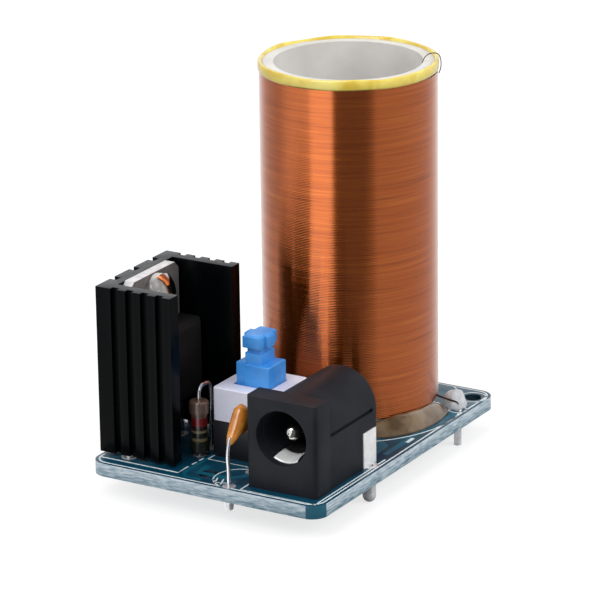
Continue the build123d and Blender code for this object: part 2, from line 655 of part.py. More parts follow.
# ================================================================ power socket
with BuildPart() as jack_housing:
    # front flange, with its front upright edges rounded
    with BuildSketch(level(TOP)):
        with Locations((JACK_MID_X, JACK_FRONT_Y)):
            Rectangle(JACK_W, JACK_FLANGE_L, align=(Align.CENTER, Align.MIN))
    extrude(amount=JACK_H)
    fillet(jack_housing.edges().filter_by(Axis.Z).group_by(Axis.Y)[0], JACK_FLANGE_EDGE)
    # the body behind it, arched over the socket's axis
    body_w = JACK_W - 2 * JACK_BODY_INSET
    with BuildSketch(facing_front(JACK_FLANGE_Y)):
        with Locations((JACK_MID_X, TOP)):
            Rectangle(body_w, JACK_AXIS_H, align=(Align.CENTER, Align.MIN))
        with Locations((JACK_MID_X, JACK_AXIS_Z)):
            Ellipse(body_w / 2, JACK_H - JACK_AXIS_H)
    extrude(amount=JACK_FLANGE_L - JACK_L)
    # mouth, bore and the hole for the centre pin's rivet
    for radius, depth in (
        (JACK_MOUTH_R, JACK_MOUTH_L),
        (JACK_BORE_R, JACK_BORE_L),
        (JACK_PIN_RIVET_R, JACK_L),
    ):
        with BuildSketch(facing_front(JACK_FRONT_Y)):
            with Locations((JACK_MID_X, JACK_AXIS_Z)):
                Circle(radius)
        extrude(amount=-depth, mode=Mode.SUBTRACT)
    # the slot below the bore for the leaf, and its terminal's way down through the floor
    with BuildSketch(level(TOP + LEAF_SLOT_FLOOR)):
        slot_start = JACK_FRONT_Y + LEAF_TIP_L - LEAF_ROOM
        with Locations((JACK_MID_X, slot_start)):
            slot_l = SLEEVE_STRIP_Y + JACK_METAL_T - slot_start
            Rectangle(LEAF_SLOT_W, slot_l, align=(Align.CENTER, Align.MIN))
    extrude(amount=JACK_AXIS_H - LEAF_SLOT_FLOOR, mode=Mode.SUBTRACT)
    with BuildSketch(level(TOP)):
        draw_lead(SLEEVE_LEAD)
    extrude(amount=LEAF_SLOT_FLOOR, mode=Mode.SUBTRACT)
    # moulded grooves along both sides, level with the socket's axis
    groove_y = JACK_FLANGE_Y + JACK_GROOVE_START
    groove_l = JACK_REAR_Y - JACK_GROOVE_END - groove_y
    with BuildSketch(level(JACK_AXIS_Z - JACK_GROOVE_H / 2)):
        for x, side in ((JACK_MID_X - body_w / 2, Align.MIN), (JACK_MID_X + body_w / 2, Align.MAX)):
            with Locations((x, groove_y)):
                Rectangle(JACK_GROOVE_DEPTH, groove_l, align=(side, Align.MIN))
    extrude(amount=JACK_GROOVE_H, mode=Mode.SUBTRACT)
    # the pocket and slot for the side terminal
    with BuildSketch(facing_side(SIDE_TAB_X)):
        with Locations((SIDE_TAB_Y, TOP)):
            Rectangle(SIDE_TAB_L, SIDE_TAB_H, align=(Align.MIN, Align.MIN))
    extrude(amount=SIDE_TAB_SUNK, mode=Mode.SUBTRACT)
    with BuildSketch(facing_side(SIDE_TAB_X)):
        with Locations((SIDE_TAB_Y, TOP + SIDE_TONGUE_Z)):
            Rectangle(SIDE_TAB_L, SIDE_TONGUE_H, align=(Align.MIN, Align.MIN))
    extrude(amount=-SIDE_TONGUE_L, mode=Mode.SUBTRACT)

# A turned pin: round nose, shank, collar against the bore's end, and a rivet through the rear wall.
with BuildPart() as jack_centre_pin:
    pin_start = spot(JACK_MID_X, JACK_FRONT_Y, JACK_AXIS_Z)
    with BuildSketch(Plane(origin=pin_start, x_dir=(0, 1, 0), z_dir=(1, 0, 0))):
        with BuildLine():
            nose_end = JACK_PIN_RECESS + JACK_PIN_R
            collar = JACK_BORE_L - JACK_PIN_COLLAR_L
            rivet = JACK_L + JACK_METAL_T
            CenterArc((nose_end, 0), JACK_PIN_R, 90, 90)
            Polyline(
                (nose_end, JACK_PIN_R),
                (collar, JACK_PIN_R),
                (collar, JACK_PIN_COLLAR_R),
                (JACK_BORE_L, JACK_PIN_COLLAR_R),
                (JACK_BORE_L, JACK_PIN_RIVET_R),
                (rivet, JACK_PIN_RIVET_R),
                (rivet, 0),
                (JACK_PIN_RECESS, 0),
            )
        make_face()
    revolve(axis=Axis(pin_start, (0, 1, 0)))

with BuildPart() as jack_pin_terminal:
    with BuildSketch(facing_front(JACK_REAR_Y)):
        with Locations((JACK_MID_X, TOP)):
            Rectangle(JACK_STRIP_W, JACK_AXIS_H + JACK_STRIP_W / 2, align=(Align.CENTER, Align.MIN))
        with Locations((JACK_MID_X, JACK_AXIS_Z)):
            Circle(JACK_PIN_RIVET_R, mode=Mode.SUBTRACT)
    extrude(amount=-JACK_METAL_T)
    with BuildSketch(level(lead_tip(REAR_LEAD))):
        draw_lead(REAR_LEAD)
    extrude(amount=TOP - lead_tip(REAR_LEAD))

# The springy contact that rises into the socket from below and gives way to a plug.
with BuildPart() as jack_sleeve_leaf:
    with BuildSketch(facing_side(JACK_MID_X)):
        with BuildLine():
            FilletPolyline(
                (LEAF_HINGE_Y, TOP + LEAF_ROOT_H),
                (JACK_FRONT_Y + LEAF_HEEL_L, TOP + LEAF_HEEL_H),
                (JACK_FRONT_Y + LEAF_CREST_L, TOP + LEAF_CREST_H),
                (JACK_FRONT_Y + LEAF_TIP_L, TOP + LEAF_TIP_H),
                radius=LEAF_BEND_R,
            )
        trace(line_width=JACK_METAL_T)
    extrude(amount=LEAF_W / 2, both=True)

with BuildPart() as jack_sleeve_terminal:
    with BuildSketch(facing_front(SLEEVE_STRIP_Y)):
        with Locations((JACK_MID_X, TOP + LEAF_SLOT_FLOOR)):
            strip_h = LEAF_ROOT_H - LEAF_SLOT_FLOOR + JACK_METAL_T
            Rectangle(LEAF_W, strip_h, align=(Align.CENTER, Align.MIN))
    extrude(amount=-JACK_METAL_T)
    with BuildSketch(level(lead_tip(SLEEVE_LEAD))):
        draw_lead(SLEEVE_LEAD)
    extrude(amount=TOP + LEAF_SLOT_FLOOR - lead_tip(SLEEVE_LEAD))

with BuildPart() as jack_side_terminal:
    with BuildSketch(facing_side(SIDE_TAB_X)):
        with Locations((SIDE_TAB_Y, TOP)):
            Rectangle(SIDE_TAB_L, SIDE_TAB_H, align=(Align.MIN, Align.MIN))
    extrude(amount=JACK_METAL_T)
    with BuildSketch(facing_side(SIDE_TAB_X)):
        with Locations((SIDE_TAB_Y, TOP + SIDE_TONGUE_Z)):
            Rectangle(SIDE_TAB_L, SIDE_TONGUE_H, align=(Align.MIN, Align.MIN))
    extrude(amount=-SIDE_TONGUE_L)
    with BuildSketch(level(lead_tip(SIDE_LEAD))):
        draw_lead(SIDE_LEAD)
    extrude(amount=TOP - lead_tip(SIDE_LEAD))

# ================================================================ latching push switch
SWITCH_INSIDE = SWITCH_SIDE - 2 * SWITCH_WALL

with BuildPart() as switch_base:
    with BuildSketch(switch_level(0)):
        Rectangle(SWITCH_SIDE, SWITCH_SIDE)
    extrude(amount=SWITCH_BASE_H)
    with BuildSketch(switch_level(SWITCH_FLOOR)):
        Rectangle(SWITCH_INSIDE, SWITCH_INSIDE)
    extrude(amount=SWITCH_BASE_H - SWITCH_FLOOR, mode=Mode.SUBTRACT)
    with BuildSketch(level(TOP)):
        for lead in SWITCH_LEADS:
            draw_lead(lead)
    extrude(amount=SWITCH_FLOOR, mode=Mode.SUBTRACT)
    # bearing hole for the latch pin's foot, in the rear wall
    with BuildSketch(facing_front(SWITCH_Y + SWITCH_INSIDE / 2)):
        with Locations((SWITCH_X + LATCH_X, TOP + LATCH_FOOT_H)):
            Circle(LATCH_WIRE_R + LATCH_HOLE_GAP)
    hole_depth = LATCH_FOOT_END_Y + LATCH_HOLE_END_GAP - SWITCH_INSIDE / 2
    extrude(amount=-hole_depth, mode=Mode.SUBTRACT)

with BuildPart() as switch_cover:
    with BuildSketch(switch_level(SWITCH_BASE_H)):
        Rectangle(SWITCH_SIDE, SWITCH_SIDE)
    extrude(amount=SWITCH_H - SWITCH_BASE_H)
    fillet(switch_cover.edges().filter_by(Axis.Z), SWITCH_EDGE)
    fillet(switch_cover.faces().sort_by(Axis.Z)[-1].edges(), SWITCH_TOP_EDGE)
    with BuildSketch(switch_level(SWITCH_BASE_H)):
        Rectangle(SWITCH_INSIDE, SWITCH_INSIDE)
    extrude(amount=SWITCH_H - SWITCH_BASE_H - SWITCH_FLOOR, mode=Mode.SUBTRACT)
    with BuildSketch(switch_level(SWITCH_BASE_H)):
        Rectangle(PLUNGER_BASE_X + 2 * SWITCH_RUN_GAP, PLUNGER_BASE_Y + 2 * SWITCH_RUN_GAP)
    extrude(amount=SWITCH_H - SWITCH_BASE_H, mode=Mode.SUBTRACT)

with BuildPart() as switch_plunger:
    # core and skirt, inside the cover
    with BuildSketch(switch_level(PLUNGER_CORE_BOTTOM)):
        Rectangle(PLUNGER_CORE_X, PLUNGER_CORE_Y)
    extrude(amount=PLUNGER_SKIRT_TOP - PLUNGER_CORE_BOTTOM)
    with BuildSketch(switch_level(PLUNGER_SKIRT_BOTTOM)):
        Rectangle(PLUNGER_SKIRT_SIDE, PLUNGER_SKIRT_SIDE)
    extrude(amount=PLUNGER_SKIRT_TOP - PLUNGER_SKIRT_BOTTOM)
    # the keyed block that shows above the cover
    with BuildSketch(switch_level(PLUNGER_SKIRT_TOP)):
        Rectangle(PLUNGER_BASE_X, PLUNGER_BASE_Y)
        with Locations((-PLUNGER_BASE_X / 2, -PLUNGER_BASE_Y / 2)):
            Rectangle(PLUNGER_KEY_X, PLUNGER_KEY_Y, align=(Align.MIN, Align.MIN), mode=Mode.SUBTRACT)
    extrude(amount=PLUNGER_BASE_TOP - PLUNGER_SKIRT_TOP)
    fillet(switch_plunger.edges().group_by(Axis.Z)[-1], PLUNGER_EDGE)
    # stem, neck and the head that a cap clips over
    for bottom, top, size_x, size_y in (
        (PLUNGER_BASE_TOP, PLUNGER_STEM_TOP, PLUNGER_STEM_X, PLUNGER_STEM_Y),
        (PLUNGER_STEM_TOP, PLUNGER_NECK_TOP, PLUNGER_NECK_X, PLUNGER_NECK_Y),
        (PLUNGER_NECK_TOP, PLUNGER_TOP, PLUNGER_HEAD_X, PLUNGER_HEAD_Y),
        (PLUNGER_NECK_TOP, PLUNGER_TOP, PLUNGER_NUB_X, PLUNGER_NUB_Y),
    ):
        with BuildSketch(switch_level(bottom)):
            Rectangle(size_x, size_y)
        extrude(amount=top - bottom)
    chamfer(switch_plunger.edges().group_by(Axis.Z)[-1], PLUNGER_EDGE)
    # spring pocket, and the track that the latch's hook follows
    with BuildSketch(switch_level(PLUNGER_CORE_BOTTOM)):
        Circle(SPRING_POCKET_R)
    extrude(amount=SPRING_POCKET_TOP - PLUNGER_CORE_BOTTOM, mode=Mode.SUBTRACT)
    with BuildSketch(switch_level(PLUNGER_CORE_BOTTOM)):
        with Locations((LATCH_X, LATCH_TRACK_Y)):
            track_depth = PLUNGER_SKIRT_SIDE / 2 - LATCH_TRACK_Y
            Rectangle(LATCH_TRACK_W, track_depth, align=(Align.CENTER, Align.MIN))
    extrude(amount=LATCH_TRACK_TOP - PLUNGER_CORE_BOTTOM, mode=Mode.SUBTRACT)

spring_foot = spot(SWITCH_X, SWITCH_Y, TOP + SWITCH_FLOOR + SPRING_WIRE_R)
spring_arcs = helix_arcs(spring_foot, SPRING_R, SPRING_LENGTH / SPRING_TURNS, SPRING_TURNS, 0)
print("return spring's least gap to itself:", round(least_gap(spring_arcs, SPRING_WIRE_R), 2))
with BuildPart() as switch_return_spring:
    with BuildSketch(Plane(origin=spring_arcs[0] @ 0, z_dir=spring_arcs[0] % 0)):
        Circle(SPRING_WIRE_R)
    sweep(path=Wire(spring_arcs))

# A staple of spring wire: its foot turns in the base, and its hook follows the plunger's track.
latch_x = SWITCH_X + LATCH_X
switch_latch_pin = bent_wire(
    [
        spot(latch_x, SWITCH_Y + LATCH_FOOT_END_Y, TOP + LATCH_FOOT_H),
        spot(latch_x, SWITCH_Y + LATCH_RISER_Y, TOP + LATCH_FOOT_H),
        spot(latch_x, SWITCH_Y + LATCH_RISER_Y, TOP + LATCH_HOOK_H),
        spot(latch_x, SWITCH_Y + LATCH_HOOK_END_Y, TOP + LATCH_HOOK_H),
    ],
    LATCH_BEND_R,
    LATCH_WIRE_R,
)

with BuildPart() as switch_contact_bridges:
    with BuildSketch(switch_level(PLUNGER_CORE_BOTTOM)):
        with Locations(*[(side * (PLUNGER_CORE_X + BRIDGE_T) / 2, 0) for side in (-1, 1)]):
            Rectangle(BRIDGE_T, BRIDGE_Y)
    extrude(amount=BRIDGE_H)

with BuildPart() as switch_terminals:
    for lead in SWITCH_LEADS:
        with BuildSketch(level(lead_tip(lead))):
            draw_lead(lead)
        extrude(amount=TOP + SWITCH_PIN_RISE - lead_tip(lead))


# ================================================================ resistors
def resistor_body(x, y):
    """A resistor's coated body, stood on end: a waist between two caps."""
    bottom = TOP + RESISTOR_LIFT
    with BuildPart() as body:
        with BuildSketch(level(bottom)):
            with Locations((x, y)):
                Circle(RESISTOR_WAIST_R)
        extrude(amount=RESISTOR_L)
        for cap_bottom in (bottom, bottom + RESISTOR_L - RESISTOR_CAP_L):
            with BuildSketch(level(cap_bottom)):
                with Locations((x, y)):
                    Circle(RESISTOR_R)
            extrude(amount=RESISTOR_CAP_L)
        rims = body.edges().filter_by(GeomType.CIRCLE).sort_by(Axis.Z)
        fillet([rims[0], rims[-1]], RESISTOR_EDGE)
    return body.part


def resistor_leads(x, y):
    """A resistor's two leads: one straight down, and one looped over from the top to the rear pad."""
    lead = round_lead(x, y, LEAD_D, SHORT_JOINT)
    body_bottom = TOP + RESISTOR_LIFT
    body_top = body_bottom + RESISTOR_L
    loop_top = body_top + RESISTOR_LOOP_H
    loop = [
        spot(x, y, body_top),
        spot(x, y, loop_top),
        spot(x, y + RESISTOR_PITCH, loop_top),
        spot(x, y + RESISTOR_PITCH, lead_tip(lead)),
    ]
    with BuildPart() as leads:
        with BuildSketch(level(lead_tip(lead))):
            draw_lead(lead)
        extrude(amount=body_bottom - lead_tip(lead))
        add(bent_wire(loop, RESISTOR_BEND_R, LEAD_D / 2))
    return leads.part


bias_resistor = resistor_body(*RESISTOR_SPOTS["bias"])
bias_resistor_leads = resistor_leads(*RESISTOR_SPOTS["bias"])
lamp_resistor = resistor_body(*RESISTOR_SPOTS["lamp"])
lamp_resistor_leads = resistor_leads(*RESISTOR_SPOTS["lamp"])

# ================================================================ capacitor
with BuildPart() as capacitor_body:
    with BuildSketch(facing_side(CAP_X - CAP_T / 2)):
        with Locations((CAP_MID_Y, TOP + CAP_MID_H)):
            Ellipse(CAP_W / 2, CAP_H / 2)
    extrude(amount=CAP_T)
    fillet(capacitor_body.faces().filter_by(GeomType.PLANE).edges(), CAP_EDGE)
    with BuildSketch(level(TOP + CAP_NECK_BOTTOM)):
        with Locations(*[(CAP_X, y) for y in CAP_ENTRIES]):
            Circle(CAP_NECK_R)
    extrude(amount=CAP_MID_H - CAP_NECK_BOTTOM)

cap_wires = [
    bent_wire(
        [
            spot(CAP_X, lead.y, lead_tip(lead)),
            spot(CAP_X, lead.y, TOP + CAP_KINK_H),
            spot(CAP_X, entry, TOP + CAP_KINK_H + CAP_KINK_RISE),
            spot(CAP_X, entry, TOP + CAP_NECK_BOTTOM),
        ],
        CAP_BEND_R,
        LEAD_D / 2,
    )
    for lead, entry in zip(CAP_LEADS, CAP_ENTRIES)
]
with BuildPart() as capacitor_leads:
    add(cap_wires)


# ================================================================ signal lamps
def lamp_lens(y):
    """A round-nosed lamp body with its flange, standing on its leads."""
    bottom = TOP + LAMP_LIFT
    with BuildPart() as lens:
        with BuildSketch(level(bottom)):
            with Locations((LAMP_X, y)):
                Circle(LAMP_FLANGE_R)
        extrude(amount=LAMP_FLANGE_T)
        with BuildSketch(level(bottom)):
            with Locations((LAMP_X, y)):
                Circle(LAMP_R)
        extrude(amount=LAMP_H - LAMP_R)
        with Locations(spot(LAMP_X, y, bottom + LAMP_H - LAMP_R)):
            Sphere(LAMP_R)
    return lens.part


feedback_lamp_lens = lamp_lens(LAMP_SPOTS["feedback"])
power_lamp_lens = lamp_lens(LAMP_SPOTS["power"])

with BuildPart() as lamp_leads:
    for lead in LAMP_LEADS:
        with BuildSketch(level(lead_tip(lead))):
            draw_lead(lead)
        extrude(amount=TOP + LAMP_LIFT - lead_tip(lead))

# ================================================================ secondary coil
with BuildPart() as coil_former:
    with BuildSketch(coil_level(TOP)):
        Circle(FORMER_R)
        Circle(FORMER_R - FORMER_WALL, mode=Mode.SUBTRACT)
    extrude(amount=FORMER_H)

# A thin inner layer, and the outer layer wound over it as one wire with a short straight run at each end.
wire_foot = spot(COIL_X, COIL_Y, WINDING_BOTTOM + 2 * WINDING_WIRE_R)
turns = helix_arcs(wire_foot, WIRE_R, WINDING_PITCH, WINDING_TURNS, WINDING_START)
print("winding's least gap to itself:", round(least_gap(turns, WINDING_WIRE_R), 2))
start_dir, end_dir = turns[0] % 0, turns[-1] % 1
wire_start = turns[0] @ 0 - start_dir * 2 * WINDING_WIRE_R
wire_end = turns[-1] @ 1 + end_dir * 2 * WINDING_WIRE_R
wire_path = Wire([Edge.make_line(wire_start, turns[0] @ 0), *turns, Edge.make_line(turns[-1] @ 1, wire_end)])
with BuildPart() as secondary_winding:
    with BuildSketch(coil_level(WINDING_BOTTOM)):
        Circle(WINDING_R)
        Circle(FORMER_R, mode=Mode.SUBTRACT)
    extrude(amount=WINDING_TOP - WINDING_BOTTOM)
    with BuildSketch(Plane(origin=wire_start, z_dir=start_dir)):
        RegularPolygon(WINDING_WIRE_R, WINDING_WIRE_SIDES)
    sweep(path=wire_path)

with BuildPart() as rim_tape:
    with BuildSketch(coil_level(TAPE_BOTTOM)):
        Circle(TAPE_OUTER_R)
        Circle(FORMER_R + SEAT_GAP, mode=Mode.SUBTRACT)
    extrude(amount=TAPE_TOP - TAPE_BOTTOM)

# The winding's top end: out under the tape, up past it, and hooked over the rim into the tube.
winding_lead_top = bent_wire(
    [
        wire_end,
        wire_end + end_dir * END_WIRE_RUN,
        coil_spot(HOOK_R, HOOK_FOOT_ANGLE, TAPE_BOTTOM - HOOK_UNDER_TAPE),
        coil_spot(HOOK_R, HOOK_TOP_ANGLE, HOOK_TOP),
        coil_spot(HOOK_INSIDE_R, HOOK_INSIDE_ANGLE, HOOK_TOP),
        coil_spot(HOOK_INSIDE_R, HOOK_END_ANGLE, TAPE_TOP - HOOK_DIP),
    ],
    END_WIRE_BEND_R,
    END_WIRE_R,
)

# The winding's bottom end: out along the board and down onto its pad.
winding_lead_foot = bent_wire(
    [
        wire_start,
        wire_start - start_dir * END_WIRE_RUN,
        spot(COIL_PAD_X, COIL_PAD_Y, TOP + FOOT_WIRE_H),
        spot(COIL_PAD_X, COIL_PAD_Y, TOP),
    ],
    END_WIRE_BEND_R,
    END_WIRE_R,
)

# A bead of glue along the coil's foot: a rounded wedge turned part way about the coil's axis.
with BuildPart() as glue_bead:
    bead_angle = radians(GLUE_START)
    outward = (cos(bead_angle), sin(bead_angle), 0)
    sideways = (sin(bead_angle), -cos(bead_angle), 0)
    with BuildSketch(Plane(origin=spot(COIL_X, COIL_Y, TOP), x_dir=outward, z_dir=sideways)):
        with BuildLine():
            Polyline((GLUE_OUTER_R, GLUE_LIP), (GLUE_OUTER_R, 0), (GLUE_INNER_R, 0), (GLUE_INNER_R, GLUE_H))
            bulge = (GLUE_INNER_R + GLUE_W * GLUE_BULGE, GLUE_H * GLUE_BULGE)
            ThreePointArc((GLUE_INNER_R, GLUE_H), bulge, (GLUE_OUTER_R, GLUE_LIP))
        make_face()
    revolve(axis=Axis(spot(COIL_X, COIL_Y, 0), (0, 0, 1)), revolution_arc=GLUE_SWEEP)

# A clear drop over the winding's bottom end.
with BuildPart() as glue_drop:
    with BuildSketch(Plane(origin=coil_spot(DROP_FROM_AXIS, DROP_ANGLE, TOP))):
        Circle(DROP_R)
    extrude(amount=DROP_H)
    fillet(glue_drop.faces().sort_by(Axis.Z)[-1].edges(), DROP_EDGE)
    add(winding_lead_foot, mode=Mode.SUBTRACT)

# ================================================================ write the pieces
PIECES = {
    "pcb_board": pcb_board.part,
    "primary_track": primary_track.part,
    "solder_joints": solder_joints.part,
    "coil_pad_joint": coil_pad_joint.part,
    "heat_sink": heat_sink.part,
    "heat_sink_pins": heat_sink_pins.part,
    "transistor_tab": transistor_tab.part,
    "transistor_case": transistor_case.part,
    "transistor_leads": transistor_leads.part,
    "clamp_screw": clamp_screw.part,
    "jack_housing": jack_housing.part,
    "jack_centre_pin": jack_centre_pin.part,
    "jack_pin_terminal": jack_pin_terminal.part,
    "jack_sleeve_leaf": jack_sleeve_leaf.part,
    "jack_sleeve_terminal": jack_sleeve_terminal.part,
    "jack_side_terminal": jack_side_terminal.part,
    "switch_base": switch_base.part,
    "switch_cover": switch_cover.part,
    "switch_plunger": switch_plunger.part,
    "switch_return_spring": switch_return_spring.part,
    "switch_latch_pin": switch_latch_pin,
    "switch_contact_bridges": switch_contact_bridges.part,
    "switch_terminals": switch_terminals.part,
    "bias_resistor": bias_resistor,
    "bias_resistor_leads": bias_resistor_leads,
    "lamp_resistor": lamp_resistor,
    "lamp_resistor_leads": lamp_resistor_leads,
    "capacitor_body": capacitor_body.part,
    "capacitor_leads": capacitor_leads.part,
    "feedback_lamp_lens": feedback_lamp_lens,
    "power_lamp_lens": power_lamp_lens,
    "lamp_leads": lamp_leads.part,
    "coil_former": coil_former.part,
    "secondary_winding": secondary_winding.part,
    "rim_tape": rim_tape.part,
    "winding_lead_top": winding_lead_top,
    "winding_lead_foot": winding_lead_foot,
    "glue_bead": glue_bead.part,
    "glue_drop": glue_drop.part,
}

os.makedirs("parts", exist_ok=True)
for name, piece in PIECES.items():
    piece.label = name
    export_step(piece, f"parts/{name}.step")
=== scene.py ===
from math import atan2, cos, exp, pi, radians, sin, tau

import bmesh
import bpy
import numpy as np
from mathutils import Matrix, Vector, noise


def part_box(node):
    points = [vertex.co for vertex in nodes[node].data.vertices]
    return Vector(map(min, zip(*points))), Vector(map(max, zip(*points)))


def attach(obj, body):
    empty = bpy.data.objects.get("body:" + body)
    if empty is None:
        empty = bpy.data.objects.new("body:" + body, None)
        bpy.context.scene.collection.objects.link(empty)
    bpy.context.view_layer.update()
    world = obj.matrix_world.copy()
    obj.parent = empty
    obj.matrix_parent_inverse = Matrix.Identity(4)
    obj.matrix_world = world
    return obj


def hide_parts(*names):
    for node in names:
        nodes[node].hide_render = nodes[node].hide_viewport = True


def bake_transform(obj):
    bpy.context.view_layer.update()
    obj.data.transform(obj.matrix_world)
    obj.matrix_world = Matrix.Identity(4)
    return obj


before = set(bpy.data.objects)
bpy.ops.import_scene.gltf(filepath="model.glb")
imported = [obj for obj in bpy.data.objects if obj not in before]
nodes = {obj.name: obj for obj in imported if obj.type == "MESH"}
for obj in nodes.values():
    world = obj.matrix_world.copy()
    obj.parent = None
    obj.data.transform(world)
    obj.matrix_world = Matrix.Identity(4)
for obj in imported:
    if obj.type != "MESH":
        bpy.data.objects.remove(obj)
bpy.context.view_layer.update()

# Looks of the desktop resonant transformer, in metres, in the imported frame.
# MM turns a size in millimetres into metres. Plan places are written from the board's front left corner.
MM = 0.001
BOARD_LOW, BOARD_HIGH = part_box("pcb_board")
BOARD_TOP = BOARD_HIGH.z
BOARD_BOTTOM = BOARD_LOW.z
BOARD_W = (BOARD_HIGH.x - BOARD_LOW.x) / MM
BOARD_D = (BOARD_HIGH.y - BOARD_LOW.y) / MM
COIL_LOW, COIL_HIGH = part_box("coil_former")
COIL_AXIS = (COIL_LOW + COIL_HIGH) / 2
FORMER_R = (COIL_HIGH.x - COIL_LOW.x) / 2
rng = np.random.default_rng(7)


def on_board(x, y):
    """A point of the board's top in metres, from its place in millimetres."""
    return Vector((BOARD_LOW.x + x * MM, BOARD_LOW.y + y * MM, BOARD_TOP))


# ================================================================ materials
def colour(red, green, blue):
    """A linear colour from its 0 to 255 screen values."""
    return tuple((c / 255) ** 2.2 for c in (red, green, blue)) + (1.0,)


def add_node(tree, kind, inputs=None, **properties):
    """A new node in a tree. An input is either a constant or the output socket that feeds it."""
    node = tree.nodes.new(kind)
    for key, value in properties.items():
        setattr(node, key, value)
    for key, value in (inputs or {}).items():
        if isinstance(value, bpy.types.NodeSocket):
            tree.links.new(value, node.inputs[key])
        else:
            node.inputs[key].default_value = value
    return node


class Finish:
    """One procedural material: a Principled shader with patterns in the object's own coordinates."""

    def __init__(self, name, **settings):
        self.material = bpy.data.materials.new(name)
        self.material.use_nodes = True
        self.tree = self.material.node_tree
        self.shader = self.tree.nodes["Principled BSDF"]
        for socket, value in settings.items():
            self.shader.inputs[socket.replace("_", " ")].default_value = value
        self.place = self.add("ShaderNodeTexCoord").outputs["Object"]

    def add(self, kind, inputs=None, **properties):
        return add_node(self.tree, kind, inputs, **properties)

    def part(self, vector, axis):
        """One coordinate of a vector."""
        return self.add("ShaderNodeSeparateXYZ", {0: vector}).outputs[axis]

    def up(self):
        """How far the surface faces up: 1 on a level top, -1 on a level underside."""
        return self.part(self.add("ShaderNodeTexCoord").outputs["Normal"], 2)

    def share_of_height(self, low, high):
        """0 at the height low and 1 at the height high, both in metres."""
        height = self.part(self.place, 2)
        return self.math("MULTIPLY_ADD", height, 1 / (high - low), -low / (high - low))

    def math(self, operation, first, second=0.0, third=0.0):
        inputs = {0: first, 1: second, 2: third}
        return self.add("ShaderNodeMath", inputs, operation=operation).outputs[0]

    def noise(self, grain, detail=3.0, stretch=(1, 1, 1), distortion=0.0):
        """Noise whose features are about grain across, in metres, longer where stretch is below 1."""
        place = self.add("ShaderNodeMapping", {"Vector": self.place, "Scale": stretch}).outputs[0]
        inputs = {"Vector": place, "Scale": 1 / grain, "Detail": detail, "Distortion": distortion}
        return self.add("ShaderNodeTexNoise", inputs).outputs[0]

    def ramp(self, fac, stops, constant=False):
        """A colour ramp through (place, colour) stops."""
        node = self.add("ShaderNodeValToRGB", {0: fac})
        node.color_ramp.interpolation = "CONSTANT" if constant else "LINEAR"
        elements = node.color_ramp.elements
        while len(elements) < len(stops):
            elements.new(0.5)
        for element, (place, tone) in zip(elements, stops):
            element.position = place
            element.color = tone
        return node.outputs[0]

    def tones(self, low, high, grain, **more):
        """A colour that drifts between two tones."""
        return self.ramp(self.noise(grain, **more), [(0.35, low), (0.65, high)])

    def mottled(self, tone, grain):
        """A colour that darkens in patches."""
        shade = self.ramp(self.noise(grain), [(0.3, (0.7, 0.7, 0.7, 1)), (0.7, (1, 1, 1, 1))])
        inputs = {"Factor": 1.0, 6: tone, 7: shade}
        return self.add("ShaderNodeMix", inputs, data_type="RGBA", blend_type="MULTIPLY").outputs[2]

    def mix(self, fac, first, second):
        inputs = {"Factor": fac, 6: first, 7: second}
        return self.add("ShaderNodeMix", inputs, data_type="RGBA").outputs[2]

    def paint(self, tone):
        self.tree.links.new(tone, self.shader.inputs["Base Color"])

    def rough(self, grain, low, high, **more):
        """Roughness that varies from low to high."""
        inputs = {0: self.noise(grain, **more), 3: low, 4: high}
        out = self.add("ShaderNodeMapRange", inputs).outputs[0]
        self.tree.links.new(out, self.shader.inputs["Roughness"])

    def bump(self, height, depth):
        """Relief from a 0 to 1 height, depth in metres."""
        inputs = {"Height": height, "Distance": depth, "Strength": 1.0}
        out = self.add("ShaderNodeBump", inputs).outputs[0]
        self.tree.links.new(out, self.shader.inputs["Normal"])


# A surface faces up, or down, where the upright part of its normal is larger than this.
FACES_UP = 0.7


def plain_finish(name, low, high, patch, speckle, rough, relief, **settings):
    """Two drifting tones, a fine roughness grain and a fine relief: what most pieces need."""
    finish = Finish(name, **settings)
    finish.paint(finish.tones(low, high, patch * MM))
    finish.rough(speckle * MM, *rough)
    finish.bump(finish.noise(speckle * MM, detail=4), relief * MM)
    return finish


def lit_top_finish(name, top, sides, rough, **settings):
    """Painted highlight: a lighter colour on what faces up, where the light falls, and another colour on
    the rest.
    """
    finish = Finish(name, **settings)
    # Painted highlight: the upward faces take the lighter top colour.
    painted_lit_top = finish.math("GREATER_THAN", finish.up(), FACES_UP)
    finish.paint(finish.mottled(finish.mix(painted_lit_top, sides, top), 1.2 * MM))
    finish.rough(0.2 * MM, *rough)
    finish.bump(finish.noise(0.2 * MM, detail=4), 0.01 * MM)
    return finish


# The sawn edge is darker near the front right corner. Inside the rim's band only the holes have walls.
CORNER_BLOCK = 1.75 * MM
RIM_BAND = 1.2 * MM


